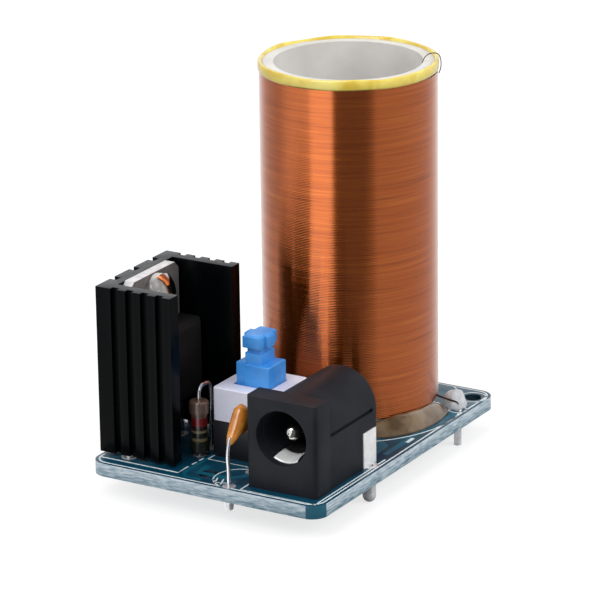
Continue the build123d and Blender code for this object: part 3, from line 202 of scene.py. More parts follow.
def board_finish():
    """Satin mask on both faces, the pale sawn laminate on the edges, and painted shade on the walls of the
    holes.
    """
    finish = Finish("board_mask", Specular_IOR_Level=0.5)
    face = finish.math("GREATER_THAN", finish.math("ABSOLUTE", finish.up()), FACES_UP)
    mask = finish.tones(colour(10, 58, 80), colour(14, 74, 96), 4 * MM)
    across = finish.share_of_height(BOARD_BOTTOM, BOARD_TOP)
    streaks = finish.noise(0.5 * MM, detail=5, stretch=(0.35, 0.35, 2.5), distortion=0.4)
    level = finish.math("MULTIPLY_ADD", streaks, 0.9, finish.math("MULTIPLY", across, 0.22))
    edge = finish.ramp(
        level,
        [
            (0.3, colour(70, 108, 126)),
            (0.45, colour(124, 152, 166)),
            (0.58, colour(168, 186, 198)),
            (0.75, colour(206, 218, 226)),
        ],
    )
    x, y = finish.part(finish.place, 0), finish.part(finish.place, 1)
    reach = finish.math("SUBTRACT", x, y)
    corner = finish.math("GREATER_THAN", reach, BOARD_HIGH.x - BOARD_LOW.y - CORNER_BLOCK)
    edge = finish.mix(corner, edge, colour(38, 92, 112))
    # Painted shade: the walls of the holes are painted a dark teal.
    inside = [
        finish.math("LESS_THAN", finish.math("ABSOLUTE", place), limit - RIM_BAND)
        for place, limit in ((x, BOARD_HIGH.x), (y, BOARD_HIGH.y))
    ]
    edge = finish.mix(finish.math("MULTIPLY", *inside), edge, colour(14, 44, 56))
    finish.paint(finish.mix(face, edge, mask))
    finish.rough(0.4 * MM, 0.22, 0.42)
    relief = finish.math("MULTIPLY", finish.noise(0.16 * MM, detail=4), finish.math("SUBTRACT", 1.12, face))
    finish.bump(relief, 0.06 * MM)
    return finish


def winding_finish():
    """Fine enamelled wire under varnish: coppery, with turns that differ a little in tone."""
    finish = Finish("enamelled_wire", Metallic=0.93, Coat_Weight=0.85, Coat_Roughness=0.06)
    by_turn = finish.noise(0.22 * MM, detail=2, stretch=(0.02, 0.02, 1.0))
    scuffs = finish.noise(1.6 * MM, detail=4, stretch=(0.12, 0.12, 2.5))
    level = finish.math("MULTIPLY_ADD", by_turn, 0.6, finish.math("MULTIPLY", scuffs, 0.4))
    finish.paint(
        finish.ramp(
            level,
            [
                (0.26, colour(128, 62, 36)),
                (0.38, colour(188, 92, 38)),
                (0.55, colour(204, 104, 42)),
                (0.72, colour(220, 120, 50)),
            ],
        )
    )
    finish.rough(0.5 * MM, 0.1, 0.2, stretch=(0.1, 0.1, 1.0))
    finish.bump(finish.noise(0.8 * MM, detail=3, stretch=(0.05, 0.05, 1.0)), 0.01 * MM)
    return finish


def resistor_finish(name, bands):
    """Lacquer with rings. bands are (height above the body's foot in mm, colour), from the foot up."""
    finish = Finish(name, Specular_IOR_Level=0.6, Coat_Weight=0.4, Coat_Roughness=0.15)
    low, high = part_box(name)
    stops = [(place * MM / (high.z - low.z), tone) for place, tone in bands]
    body = finish.ramp(finish.share_of_height(low.z, high.z), stops, constant=True)
    finish.paint(finish.mottled(body, 0.5 * MM))
    finish.rough(0.3 * MM, 0.2, 0.4)
    finish.bump(finish.noise(0.4 * MM), 0.02 * MM)
    return finish


def metal(name, low, high, rough, stretch=(1, 1, 1), metallic=1.0, **settings):
    """Bare or plated metal with a fine drawn grain."""
    finish = Finish(name, Metallic=metallic, **settings)
    finish.paint(finish.tones(low, high, 0.8 * MM, stretch=stretch))
    finish.rough(0.25 * MM, *rough, stretch=stretch)
    finish.bump(finish.noise(0.2 * MM, detail=4, stretch=stretch), 0.01 * MM)
    return finish


DRAWN_UP = (1, 1, 0.15)
FINISHES = {
    "board": board_finish(),
    "winding": winding_finish(),
    "track": plain_finish(
        "masked_track", colour(16, 84, 106), colour(20, 98, 122), 3, 0.3, (0.25, 0.4), 0.01,
    ),
    "ink": plain_finish(
        "white_ink", colour(205, 222, 228), colour(238, 244, 246), 0.7, 0.15, (0.5, 0.7), 0.02,
    ),
    "solder": metal("solder", colour(196, 198, 204), colour(240, 240, 244), (0.12, 0.3), metallic=0.55),
    "tinned": metal("tinned_wire", colour(196, 198, 202), colour(236, 236, 238), (0.18, 0.34), DRAWN_UP),
    # Painted highlight: the tab's top is painted much lighter than its sides.
    "tab": lit_top_finish(
        "tinned_tab", colour(236, 234, 236), colour(122, 118, 118), (0.28, 0.42), Metallic=0.3,
    ),
    "strip": metal("tinned_strip", colour(206, 208, 212), colour(240, 240, 242), (0.2, 0.42), DRAWN_UP),
    "contact": plain_finish(
        "spring_strip", colour(236, 236, 236), colour(250, 250, 250), 0.8, 0.2, (0.16, 0.28), 0.005,
        Metallic=0.15,
    ),
    "plated": metal("plated", colour(186, 184, 180), colour(226, 224, 220), (0.08, 0.16)),
    "spring": metal("spring_wire", colour(140, 140, 142), colour(184, 184, 186), (0.25, 0.4)),
    # Painted highlight: the sink's upward faces are painted grey, lighter than its black sides.
    "anodised": lit_top_finish(
        "black_anodised", colour(66, 69, 72), colour(9, 12, 14), (0.2, 0.3), Specular_IOR_Level=0.08,
    ),
    "epoxy": plain_finish(
        "black_epoxy", colour(14, 13, 14), colour(24, 23, 24), 2, 0.15, (0.5, 0.7), 0.02,
    ),
    "socket": plain_finish(
        "socket_plastic", colour(34, 36, 41), colour(41, 43, 48), 4, 0.12, (0.46, 0.58), 0.012,
        Specular_IOR_Level=0.14,
    ),
    "black": plain_finish(
        "switch_black", colour(10, 10, 16), colour(18, 18, 26), 2, 0.15, (0.4, 0.55), 0.012,
    ),
    "grey": plain_finish(
        "switch_grey", colour(214, 216, 234), colour(228, 230, 246), 4, 0.15, (0.32, 0.45), 0.008,
    ),
    "blue": plain_finish(
        "switch_blue", colour(56, 134, 214), colour(70, 150, 228), 2, 0.12, (0.26, 0.4), 0.01,
    ),
    "orange": plain_finish(
        "orange_coat", colour(186, 112, 34), colour(214, 142, 58), 1.5, 0.5, (0.16, 0.28), 0.04,
        Coat_Weight=0.6, Coat_Roughness=0.08, Subsurface_Weight=0.15, Subsurface_Scale=0.001,
    ),
    "former": plain_finish(
        "former_tube", colour(206, 203, 199), colour(226, 224, 221), 8, 0.5, (0.4, 0.6), 0.02,
    ),
    "tape": plain_finish(
        "yellow_tape", colour(216, 186, 66), colour(238, 222, 116), 2.5, 0.4, (0.16, 0.3), 0.02,
        Coat_Weight=0.5, Coat_Roughness=0.1, Subsurface_Weight=0.2, Subsurface_Scale=0.0008,
    ),
    "glue": plain_finish(
        "brown_glue", colour(86, 64, 40), colour(128, 108, 84), 2.4, 1.2, (0.1, 0.2), 0.012,
        Transmission_Weight=0.12, IOR=1.4, Coat_Weight=0.3, Coat_Roughness=0.1,
    ),
    "clear": plain_finish(
        "clear_glue", colour(214, 218, 226), colour(242, 244, 248), 1.2, 1.0, (0.04, 0.1), 0.02,
        Transmission_Weight=0.3, IOR=1.4,
    ),
    "lens_clear": plain_finish(
        "clear_lens", colour(222, 228, 232), colour(240, 243, 245), 2, 0.5, (0.04, 0.1), 0.01,
        Transmission_Weight=0.9, IOR=1.5,
    ),
    "lens_red": plain_finish(
        "red_lens", colour(196, 22, 18), colour(222, 40, 30), 2, 0.5, (0.06, 0.14), 0.01,
        Transmission_Weight=0.7, IOR=1.5,
    ),
    "enamel": metal("wire_end", colour(74, 52, 44), colour(120, 84, 66), (0.25, 0.4)),
    # Painted shade: the bias resistor's tones are painted darker than the lamp resistor's, for the heat
    # sink's shadow over it.
    "bias": resistor_finish(
        "bias_resistor",
        [
            (0.0, colour(34, 34, 22)),
            (1.5, colour(112, 104, 76)),
            (1.85, colour(30, 28, 20)),
            (2.5, colour(120, 112, 84)),
            (2.8, colour(40, 30, 26)),
            (3.3, colour(112, 22, 24)),
            (4.3, colour(98, 78, 68)),
        ],
    ),
    "lamp_resistor": resistor_finish(
        "lamp_resistor",
        [
            (0.0, colour(176, 150, 110)),
            (1.0, colour(120, 60, 30)),
            (1.6, colour(176, 150, 110)),
            (2.5, colour(30, 26, 24)),
            (3.1, colour(176, 150, 110)),
            (4.0, colour(130, 30, 28)),
            (4.6, colour(176, 150, 110)),
        ],
    ),
}
NODE_FINISH = {
    "pcb_board": "board", "primary_track": "track", "heat_sink": "anodised", "heat_sink_pins": "tinned",
    "transistor_tab": "tab", "transistor_case": "epoxy", "transistor_leads": "tinned",
    "clamp_screw": "plated", "jack_housing": "socket", "jack_centre_pin": "plated",
    "jack_pin_terminal": "strip", "jack_sleeve_leaf": "spring", "jack_sleeve_terminal": "strip",
    "jack_side_terminal": "contact", "switch_base": "black", "switch_cover": "grey",
    "switch_plunger": "blue", "switch_return_spring": "spring", "switch_latch_pin": "spring",
    "switch_contact_bridges": "contact", "switch_terminals": "strip", "bias_resistor": "bias",
    "bias_resistor_leads": "tinned", "lamp_resistor": "lamp_resistor", "lamp_resistor_leads": "tinned",
    "capacitor_body": "orange", "capacitor_leads": "tinned", "feedback_lamp_lens": "lens_clear",
    "power_lamp_lens": "lens_red", "lamp_leads": "tinned", "coil_former": "former", "rim_tape": "tape",
    "winding_lead_top": "enamel", "winding_lead_foot": "enamel", "solder_joints": "solder",
    "coil_pad_joint": "solder", "glue_bead": "glue", "glue_drop": "clear", "secondary_winding": "winding",
}
for node, finish in NODE_FINISH.items():
    nodes[node].data.materials.clear()
    nodes[node].data.materials.append(FINISHES[finish].material)


# ================================================================ meshes
def new_piece(name, verts, faces, finish, slot, body="board", smooth=True):
    """A mesh piece with one of the finishes."""
    mesh = bpy.data.meshes.new(name)
    mesh.from_pydata([tuple(v) for v in verts], [], faces)
    mesh.polygons.foreach_set("use_smooth", [smooth] * len(mesh.polygons))
    mesh.materials.append(FINISHES[finish].material)
    mesh.update()
    piece = bpy.data.objects.new(name, mesh)
    bpy.context.scene.collection.objects.link(piece)
    if body:
        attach(piece, body)
    return piece


def join_parts(parts):
    """One (vertices, faces) from several."""
    verts, faces = [], []
    for part_verts, part_faces in parts:
        faces += [tuple(i + len(verts) for i in face) for face in part_faces]
        verts += list(part_verts)
    return verts, faces


def about(axis, radius, angle, z):
    """A point at a radius and an angle about a vertical axis."""
    return axis.x + radius * cos(angle), axis.y + radius * sin(angle), z


def closed_skin(rings, sides):
    """Faces from ring to ring of a stack of them, and over the first and the last."""
    faces = []
    for row in range(rings - 1):
        for k in range(sides):
            a, b = row * sides + k, row * sides + (k + 1) % sides
            faces.append((a, b, b + sides, a + sides))
    faces.append(tuple(reversed(range(sides))))
    last = (rings - 1) * sides
    faces.append(tuple(last + k for k in range(sides)))
    return faces


def lathe(axis, profile, sides=24, wobble=0.0):
    """A closed solid turned about a vertical axis. profile is (radius, z) from its top to its tip."""
    verts, faces = [], []
    phase = rng.uniform(0, tau)
    for radius, z in profile:
        for k in range(sides):
            angle = tau * k / sides
            verts.append(about(axis, radius * (1 + wobble * sin(angle + phase)), angle, z))
    for row in range(len(profile) - 1):
        for k in range(sides):
            a, b = row * sides + k, row * sides + (k + 1) % sides
            faces.append((a, a + sides, b + sides, b))
    faces.append(tuple(range(sides)))
    last = (len(profile) - 1) * sides
    faces.append(tuple(last + k for k in reversed(range(sides))))
    return verts, faces


def ribbon(points, width, base, thick, closed=False):
    """A flat printed line along points in the board's plane, all in metres."""
    count = len(points)
    verts, faces = [], []
    for i, point in enumerate(points):
        before = points[i - 1] if closed or i else point
        after = points[(i + 1) % count] if closed or i < count - 1 else point
        along = Vector((after.x - before.x, after.y - before.y)).normalized()
        side = Vector((-along.y, along.x)) * width / 2
        for sign, z in ((-1, base), (-1, base + thick), (1, base + thick), (1, base)):
            verts.append((point.x + sign * side.x, point.y + sign * side.y, z))
    for i in range(count if closed else count - 1):
        j = (i + 1) % count
        for k in range(4):
            faces.append((4 * i + k, 4 * j + k, 4 * j + (k + 1) % 4, 4 * i + (k + 1) % 4))
    if not closed:
        faces += [(3, 2, 1, 0), tuple(4 * (count - 1) + k for k in range(4))]
    return verts, faces


def ring(middle, inner, outer, base, thick, sides=40):
    """A flat printed ring about a place on the board, in metres."""
    verts, faces = [], []
    for k in range(sides):
        angle = tau * k / sides
        for radius, z in ((inner, base), (inner, base + thick), (outer, base + thick), (outer, base)):
            verts.append(about(middle, radius, angle, z))
    for k in range(sides):
        j = (k + 1) % sides
        for m in range(4):
            faces.append((4 * k + m, 4 * j + m, 4 * j + (m + 1) % 4, 4 * k + (m + 1) % 4))
    return verts, faces


def islands(node):
    """(lowest corner, highest corner) of each separate solid of a CAD node."""
    mesh = bmesh.new()
    mesh.from_mesh(nodes[node].data)
    bmesh.ops.remove_doubles(mesh, verts=mesh.verts, dist=0.001 * MM)
    found, seen = [], set()
    for start in mesh.verts:
        if start in seen:
            continue
        seen.add(start)
        group, waiting = [], [start]
        while waiting:
            vert = waiting.pop()
            group.append(vert.co.copy())
            for edge in vert.link_edges:
                other = edge.other_vert(vert)
                if other not in seen:
                    seen.add(other)
                    waiting.append(other)
        corners = np.array(group)
        found.append((Vector(corners.min(0)), Vector(corners.max(0))))
    mesh.free()
    return found


# ================================================================ winding
WIRE_PITCH = 0.2 * MM
WIRE_BULGE = 0.026 * MM
WIRE_INSET = 0.08 * MM
TURN_STEPS = 120
WINDING_LOW, WINDING_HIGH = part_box("secondary_winding")
WINDING_R = (WINDING_HIGH.x - WINDING_LOW.x) / 2


def fine_winding():
    """The whole winding as one helical strip, with a round back to each turn."""
    turns = int((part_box("rim_tape")[0].z - WINDING_LOW.z) / WIRE_PITCH)
    steps = turns * TURN_STEPS
    wire_r = WINDING_R - WIRE_BULGE - WIRE_INSET
    loose = rng.normal(0, 0.06, turns + 2) * WIRE_BULGE
    lift = rng.normal(0, 0.03, turns + 2) * WIRE_PITCH
    # One turn's outside, as (up in pitches, out in bulges).
    profile = [(0.0, 0.0), (0.22, 0.8), (0.5, 1.0), (0.78, 0.8)]
    verts, faces = [], []
    for i in range(steps + 1):
        angle = tau * i / TURN_STEPS
        at = i / TURN_STEPS
        turn = int(at)
        blend = at - turn
        slack = loose[turn] * (1 - blend) + loose[turn + 1] * blend
        rise = lift[turn] * (1 - blend) + lift[turn + 1] * blend
        for up, out in profile:
            z = WINDING_LOW.z + WIRE_PITCH * (at + up) + (rise if out else 0)
            radius = wire_r + out * (WIRE_BULGE + slack)
            verts.append(about(COIL_AXIS, radius, angle, z))
    size = len(profile)
    for i in range(steps):
        for k in range(size):
            a, b = i * size + k, (i + 1) * size + k
            if k < size - 1:
                faces.append((a, b, b + 1, a + 1))
            elif i + TURN_STEPS < steps:
                c, d = (i + TURN_STEPS) * size, (i + 1 + TURN_STEPS) * size
                faces.append((a, b, d, c))
    return verts, faces


winding = new_piece("fine_winding", *fine_winding(), "winding", "enamelled_wire")
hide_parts("secondary_winding")


# ================================================================ printed lines, pads and tracks
INK_T = 0.02 * MM
INK_W = 0.17 * MM
PAD_T = 0.03 * MM
# How far a top pad reaches inward and outward from the joint's own outline under the board.
PAD_IN, PAD_OUT = 0.5 * MM, 0.08 * MM
COIL_X = (COIL_AXIS.x - BOARD_LOW.x) / MM
COIL_Y = (COIL_AXIS.y - BOARD_LOW.y) / MM


def course(*places):
    """Points of the board's top in metres, from their places in millimetres."""
    return [on_board(*place) for place in places]


def rounded_box(left, front, right, back, corner, corner_steps=6):
    """The points of a rounded rectangle on the board, in millimetres from its front left corner."""
    points = []
    for cx, cy, start in (
        (right - corner, front + corner, -90),
        (right - corner, back - corner, 0),
        (left + corner, back - corner, 90),
        (left + corner, front + corner, 180),
    ):
        for k in range(corner_steps + 1):
            angle = radians(start + 90 * k / corner_steps)
            points.append(on_board(cx + corner * cos(angle), cy + corner * sin(angle)))
    return points


def arc_points(x, y, radius, start, end, steps=60):
    """Points of an arc on the board, its middle and radius in millimetres and its ends in degrees."""
    points = []
    for k in range(steps + 1):
        angle = radians(start + (end - start) * k / steps)
        points.append(on_board(x + radius * cos(angle), y + radius * sin(angle)))
    return points


def printed_lines():
    """The white outlines on the board's top: edge line, part outlines and the coil's circle."""
    # (points, whether they close, width in widths of a plain line)
    lines = [
        (rounded_box(0.45, 0.45, BOARD_W - 0.45, BOARD_D - 0.45, 1.6), True, 1.1),
        (course((0.6, 1.75), (11.05, 1.75), (11.05, 3.9)), False, 1.25),
        (course((11.1, 4.7), (11.14, 5.6)), False, 1.2),
        (course((11.16, 6.1), (11.2, 7.0)), False, 1.2),
        (course((11.8, 17.2), (11.8, 7.05), (19.7, 7.05), (19.7, 17.2)), False, 1.0),
        (course((20.0, 16.6), (20.0, 0.72), (29.7, 0.72), (29.7, 16.6)), False, 1.1),
        (course((0.6, 18.3), (11.05, 18.3), (11.05, 16.4)), False, 1.2),
        (arc_points(COIL_X - 0.6, COIL_Y + 0.6, 13.6, -176, 52), False, 1.0),
        (arc_points(18.35, 3.45, 3.1, 100, 260, 24), False, 0.9),
    ]
    for x, y in ((2.6, 20.6), (2.6, 25.0)):
        lines.append((arc_points(x, y, 2.0, 0, 360, 40)[:-1], True, 0.9))
    for x in (16.4, 17.2):
        lines.append((course((x, 1.0), (x - 0.5, 2.5)), False, 1.0))
    lines.append((course((15.6, 1.9), (16.4, 1.2), (17.6, 1.6)), False, 1.0))
    lines.append((course((29.2, 22.6), (29.2, 24.2)), False, 2.6))
    parts = [ribbon(points, INK_W * weight, BOARD_TOP, INK_T, closed) for points, closed, weight in lines]
    parts.append(ring(on_board(29.2, 35.1), 0.98 * MM, 1.14 * MM, BOARD_TOP, INK_T))
    for x, y in ((1.8, BOARD_D - 2.7), (BOARD_W - 1.8, BOARD_D - 2.7)):
        parts.append(ring(on_board(x, y), 1.55 * MM, 1.7 * MM, BOARD_TOP, INK_T))
    return join_parts(parts)


new_piece("printed_lines", *printed_lines(), "ink", "board_mask", smooth=False)

JOINTS = islands("solder_joints")


def top_pads():
    """A tinned pad round each lead where it enters the board."""
    parts = []
    for low, high in JOINTS:
        middle = (low + high) / 2
        outer = (high.x - low.x) / 2
        parts.append(ring(middle, outer - PAD_IN, outer + PAD_OUT, BOARD_TOP, PAD_T))
    return join_parts(parts)


new_piece("top_pads", *top_pads(), "solder", "solder", smooth=False)

TRACK_RISE = 0.012 * MM
UNDER_T = 0.03 * MM


def raised_tracks():
    """Tracks that show as faint ridges under the mask, on both faces."""
    top = [
        ([(13.0, 5.2), (13.0, 3.0), (17.0, 3.0), (18.3, 4.4), (18.3, 5.9)], 0.9),
        ([(27.3, 17.0), (27.3, 20.4), (25.0, 22.0)], 1.4),
        ([(28.9, 18.0), (28.9, 27.0), (29.4, 30.0), (29.4, 34.0)], 0.7),
        ([(11.6, 8.4), (11.6, 2.2), (12.4, 1.2), (14.4, 1.2)], 0.5),
    ]
    under = [
        ([(8.0, 10.0), (12.0, 14.0), (12.0, 19.0), (14.0, 20.6)], 1.2),
        ([(24.6, 16.0), (24.6, 13.0), (17.7, 10.0)], 1.2),
        ([(6.4, 19.8), (3.9, 20.6)], 0.7),
        ([(10.2, 10.3), (13.7, 9.9)], 0.7),
        ([(18.3, 5.9), (15.7, 9.9)], 0.7),
    ]
    parts = []
    for lines, base, thick in ((top, BOARD_TOP, TRACK_RISE), (under, BOARD_BOTTOM - UNDER_T, UNDER_T)):
        for line, width in lines:
            parts.append(ribbon(course(*line), width * MM, base, thick))
    return join_parts(parts)


new_piece("raised_tracks", *raised_tracks(), "track", "masked_track", smooth=False)


# ================================================================ solder
SKIRT_H = 1.0 * MM


def solder_drop(low, high):
    """A glossy joint: a concave skirt on the pad that runs down a lead to a round end."""
    middle = (low + high) / 2
    wide = (high.x - low.x) / 2
    lead_r = wide - 0.2 * MM
    length = high.z - low.z
    skirt = min(SKIRT_H, length * 0.6)
    skirt_steps, round_steps = 8, 6
    profile = [(wide, high.z)]
    for k in range(1, skirt_steps + 1):
        share = k / skirt_steps
        profile.append((lead_r + (wide - lead_r) * exp(-3.2 * share), high.z - skirt * share))
    round_h = min(lead_r, length - skirt)
    for k in range(round_steps + 1):
        angle = k / round_steps * pi / 2
        profile.append((max(lead_r * cos(angle), 0.02 * MM), low.z + round_h * (1 - sin(angle))))
    return lathe(middle, profile, wobble=0.03)


solder = new_piece(
    "solder_fillets",
    *join_parts([solder_drop(low, high) for low, high in JOINTS]),
    "solder",
    "solder",
)
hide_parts("solder_joints")


# ================================================================ glue
GLUE_LOW, GLUE_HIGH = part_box("glue_bead")
GLUE_H = GLUE_HIGH.z - GLUE_LOW.z
GLUE_START, GLUE_END = radians(-50), radians(17)
GLUE_INNER = WINDING_R + 0.02 * MM
GLUE_W = 1.9 * MM


def glue_ridge():
    """The set bead at the coil's foot: a lumpy ridge that thins towards its ends."""
    along, across = 56, 14
    verts, faces = [], []
    for i in range(along + 1):
        share = i / along
        angle = GLUE_START + (GLUE_END - GLUE_START) * share
        end = (0.06 + 0.94 * max(sin(pi * share ** 0.9), 0.0)) ** 0.24
        lump = 0.9 + 0.1 * noise.noise(Vector((share * 3.1, 0.3, 1.7)))
        for k in range(across + 1):
            out = k / across
            ripple = 0.05 * noise.noise(Vector((share * 6, out * 2, 5.2)))
            arch = 1 - out ** 1.9
            height = GLUE_H * end * lump * arch * (0.95 + ripple)
            radius = GLUE_INNER + GLUE_W * out * (0.55 + 0.45 * end) * lump
            verts.append(about(COIL_AXIS, radius, angle, BOARD_TOP + height))
    top = len(verts)
    verts += [(x, y, BOARD_TOP) for x, y, _ in verts[:top]]
    size = across + 1
    for i in range(along):
        for k in range(across):
            a, b = i * size + k, (i + 1) * size + k
            faces.append((a, b, b + 1, a + 1))
            faces.append((top + a + 1, top + b + 1, top + b, top + a))
        a, b = i * size, (i + 1) * size
        faces.append((a, top + a, top + b, b))
        a, b = a + across, b + across
        faces.append((b, top + b, top + a, a))
    for row, flip in ((0, False), (along, True)):
        for k in range(across):
            a = row * size + k
            face = (a, a + 1, top + a + 1, top + a)
            faces.append(face[::-1] if flip else face)
    return verts, faces


glue = new_piece("glue_ridge", *glue_ridge(), "glue", "brown_glue")
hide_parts("glue_bead")


def lumpy_dome(node, lump):
    """A low drop in a CAD node's place, its skin pulled about a little."""
    low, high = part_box(node)
    middle = (low + high) / 2
    wide, tall = (high.x - low.x) / 2, high.z - low.z
    rows, sides = 12, 32
    verts = []
    for row in range(rows + 1):
        tilt = row / rows * pi / 2
        for k in range(sides):
            angle = tau * k / sides
            way = Vector((cos(angle) * cos(tilt), sin(angle) * cos(tilt), sin(tilt)))
            pull = 1 - lump * (0.5 + 0.5 * noise.noise(way * 2.1 + Vector((3, 1, 4))))
            radius = wide * pull * cos(tilt) ** 0.8
            verts.append(about(middle, radius, angle, low.z + tall * pull * sin(tilt)))
    return verts, closed_skin(rows + 1, sides)


drop = new_piece("glue_dome", *lumpy_dome("glue_drop", 0.16), "clear", "clear_glue")
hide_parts("glue_drop")


# ================================================================ rim tape
def wrapped_tape():
    """The yellow band at the rim, its edges slightly uneven."""
    low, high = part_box("rim_tape")
    outer, inner = (high.x - low.x) / 2, FORMER_R + 0.02 * MM
    mid = (inner + outer) / 2
    edge = 0.1 * MM
    sides = 180
    verts, faces = [], []
    for k in range(sides):
        angle = tau * k / sides
        wave = 0.16 * MM * noise.noise(Vector((cos(angle) * 2.3, sin(angle) * 2.3, 0.6)))
        dip = 0.14 * MM * noise.noise(Vector((cos(angle) * 1.9, sin(angle) * 1.9, 4.6)))
        bottom, top = low.z + 0.15 * MM + dip, high.z - 0.16 * MM + wave
        section = [
            (inner, bottom + edge), (inner, top - edge), (mid, top), (outer - edge, top - 0.3 * edge),
            (outer, top - 2 * edge), (outer, bottom + 2 * edge), (outer - edge, bottom), (mid, bottom),
        ]
        for radius, z in section:
            verts.append(about(COIL_AXIS, radius, angle, z))
    size = len(section)
    for k in range(sides):
        a, b = size * k, size * ((k + 1) % sides)
        for m in range(size):
            n = (m + 1) % size
            faces.append((a + m, a + n, b + n, b + m))
    return verts, faces


tape = new_piece("wrapped_tape", *wrapped_tape(), "tape", "yellow_tape")
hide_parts("rim_tape")


# ================================================================ bent wires
def smooth_path(points, steps=8):
    """A smooth path through points, as many steps between each two."""
    points = [Vector(p) for p in points]
    ends = [points[0] * 2 - points[1], *points, points[-1] * 2 - points[-2]]
    path = []
    for i in range(1, len(ends) - 2):
        a, b, c, d = ends[i - 1 : i + 3]
        for k in range(steps):
            t = k / steps
            bend, twist = a * 2 - b * 5 + c * 4 - d, b * 3 - a - c * 3 + d
            path.append((b * 2 + (c - a) * t + bend * t**2 + twist * t**3) / 2)
    return path + [points[-1]]


def tube(points, radius, sides=10):
    """A round wire along a smooth path through points, closed at both ends."""
    path = smooth_path(points)
    verts = []
    side = None
    for i, point in enumerate(path):
        along = (path[min(i + 1, len(path) - 1)] - path[max(i - 1, 0)]).normalized()
        if side is None:
            side = along.orthogonal().normalized()
        side = (side - along * side.dot(along)).normalized()
        other = along.cross(side)
        for k in range(sides):
            angle = tau * k / sides
            verts.append(point + (side * cos(angle) + other * sin(angle)) * radius)
    return verts, closed_skin(len(path), sides)


HOOK_R = 0.055 * MM
# Its course, as (outward from the former's outside, up from the rim) in millimetres.
HOOK_COURSE = [
    (-1.45, -1.1), (-1.3, -0.35), (-0.85, 0.25), (-0.2, 0.5), (0.45, 0.35), (0.72, -0.3), (0.72, -1.2),
    (0.5, -1.9),
]


def rim_hook():
    """The thin wire end that leaves the winding, arches over the rim and ends inside the tube."""
    low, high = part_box("winding_lead_top")
    middle = (low + high) / 2
    angle = atan2(middle.y - COIL_AXIS.y, middle.x - COIL_AXIS.x)
    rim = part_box("rim_tape")[1].z
    points = [about(COIL_AXIS, FORMER_R + out * MM, angle, rim + up * MM) for out, up in HOOK_COURSE]
    return tube(points, HOOK_R)


hook = new_piece("rim_hook", *rim_hook(), "enamel", "enamelled_wire")
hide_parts("winding_lead_top")


# ================================================================ capacitor
CAP_LOW, CAP_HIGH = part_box("capacitor_body")
CAP_X = (CAP_LOW.x + CAP_HIGH.x) / 2
# The outline in its own plane, as (y, z) in millimetres from the disc's middle, from the front neck round.
CAP_OUTLINE = [
    (-2.42, -1.85), (-2.2, -1.2), (-1.62, -0.3), (-1.08, 0.55), (-0.5, 1.5), (0.0, 2.1), (0.7, 2.2),
    (1.35, 1.8), (1.9, 1.0), (2.25, 0.0), (2.5, -1.0), (2.6, -1.85), (2.3, -1.95), (1.9, -1.3),
    (1.2, -1.2), (0.2, -1.35), (-0.8, -1.45), (-1.6, -1.5), (-2.1, -1.9),
]
CAP_MIDDLE = (0.1, 0.1)
CAP_T = 1.8


def capacitor_pillow():
    """The dipped disc: a domed pillow that runs down to a neck on each lead."""
    middle = (CAP_LOW + CAP_HIGH) / 2
    outline = [Vector(place) * MM for place in CAP_OUTLINE]
    closed = outline + outline[:1]
    fine = []
    for a, b in zip(closed, closed[1:]):
        fine += [a, (a + b) / 2]
    rings = 8
    verts = []
    for k in range(2 * rings + 1):
        tilt = (k / rings - 1) * pi / 2
        shrink = cos(tilt) ** 0.7
        for point in fine:
            y = CAP_MIDDLE[0] * MM + (point.x - CAP_MIDDLE[0] * MM) * shrink
            z = CAP_MIDDLE[1] * MM + (point.y - CAP_MIDDLE[1] * MM) * shrink
            thick = CAP_T * MM / 2 * sin(tilt) * (1 - 0.25 * max(0.0, -z / MM / 2))
            verts.append((CAP_X + thick, middle.y + y, middle.z + z))
    return verts, closed_skin(2 * rings + 1, len(fine))


pillow = new_piece("capacitor_pillow", *capacitor_pillow(), "orange", "orange_epoxy")
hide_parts("capacitor_body")

CAP_LEAD_R = 0.25 * MM


def capacitor_wires():
    """Its two leads, from the necks down through the board."""
    middle = (CAP_LOW + CAP_HIGH) / 2
    low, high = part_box("capacitor_leads")
    wires = []
    for sign, foot, reach in ((-1, low.y + CAP_LEAD_R, -2.25), (1, high.y - CAP_LEAD_R, 2.3)):
        neck = middle.y + reach * MM
        points = [
            (CAP_X, neck - sign * 0.3 * MM, middle.z - 1.0 * MM),
            (CAP_X, neck, middle.z - 1.9 * MM),
            (CAP_X, foot + sign * 0.12 * MM, middle.z - 3.2 * MM),
            (CAP_X, foot, middle.z - 4.8 * MM),
            (CAP_X, foot, BOARD_TOP),
            (CAP_X, foot, low.z),
        ]
        wires.append(tube(points, CAP_LEAD_R))
    return join_parts(wires)


wires = new_piece("capacitor_wires", *capacitor_wires(), "tinned", "tinned_wire")
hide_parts("capacitor_leads")


# ================================================================ socket
JACK_LOW, JACK_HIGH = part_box("jack_housing")
JACK_X = (JACK_LOW.x + JACK_HIGH.x) / 2
JACK_Z = (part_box("jack_centre_pin")[0].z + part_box("jack_centre_pin")[1].z) / 2

# The leaf's tongue: where it starts and ends behind the mouth, its radius at the front, how far its crest
# rises, its thickness, all in millimetres, and half its arc in degrees.
TONGUE_START, TONGUE_END, TONGUE_R, TONGUE_CREST, TONGUE_T, TONGUE_ARC = 0.9, 3.2, 3.12, 0.42, 0.12, 29


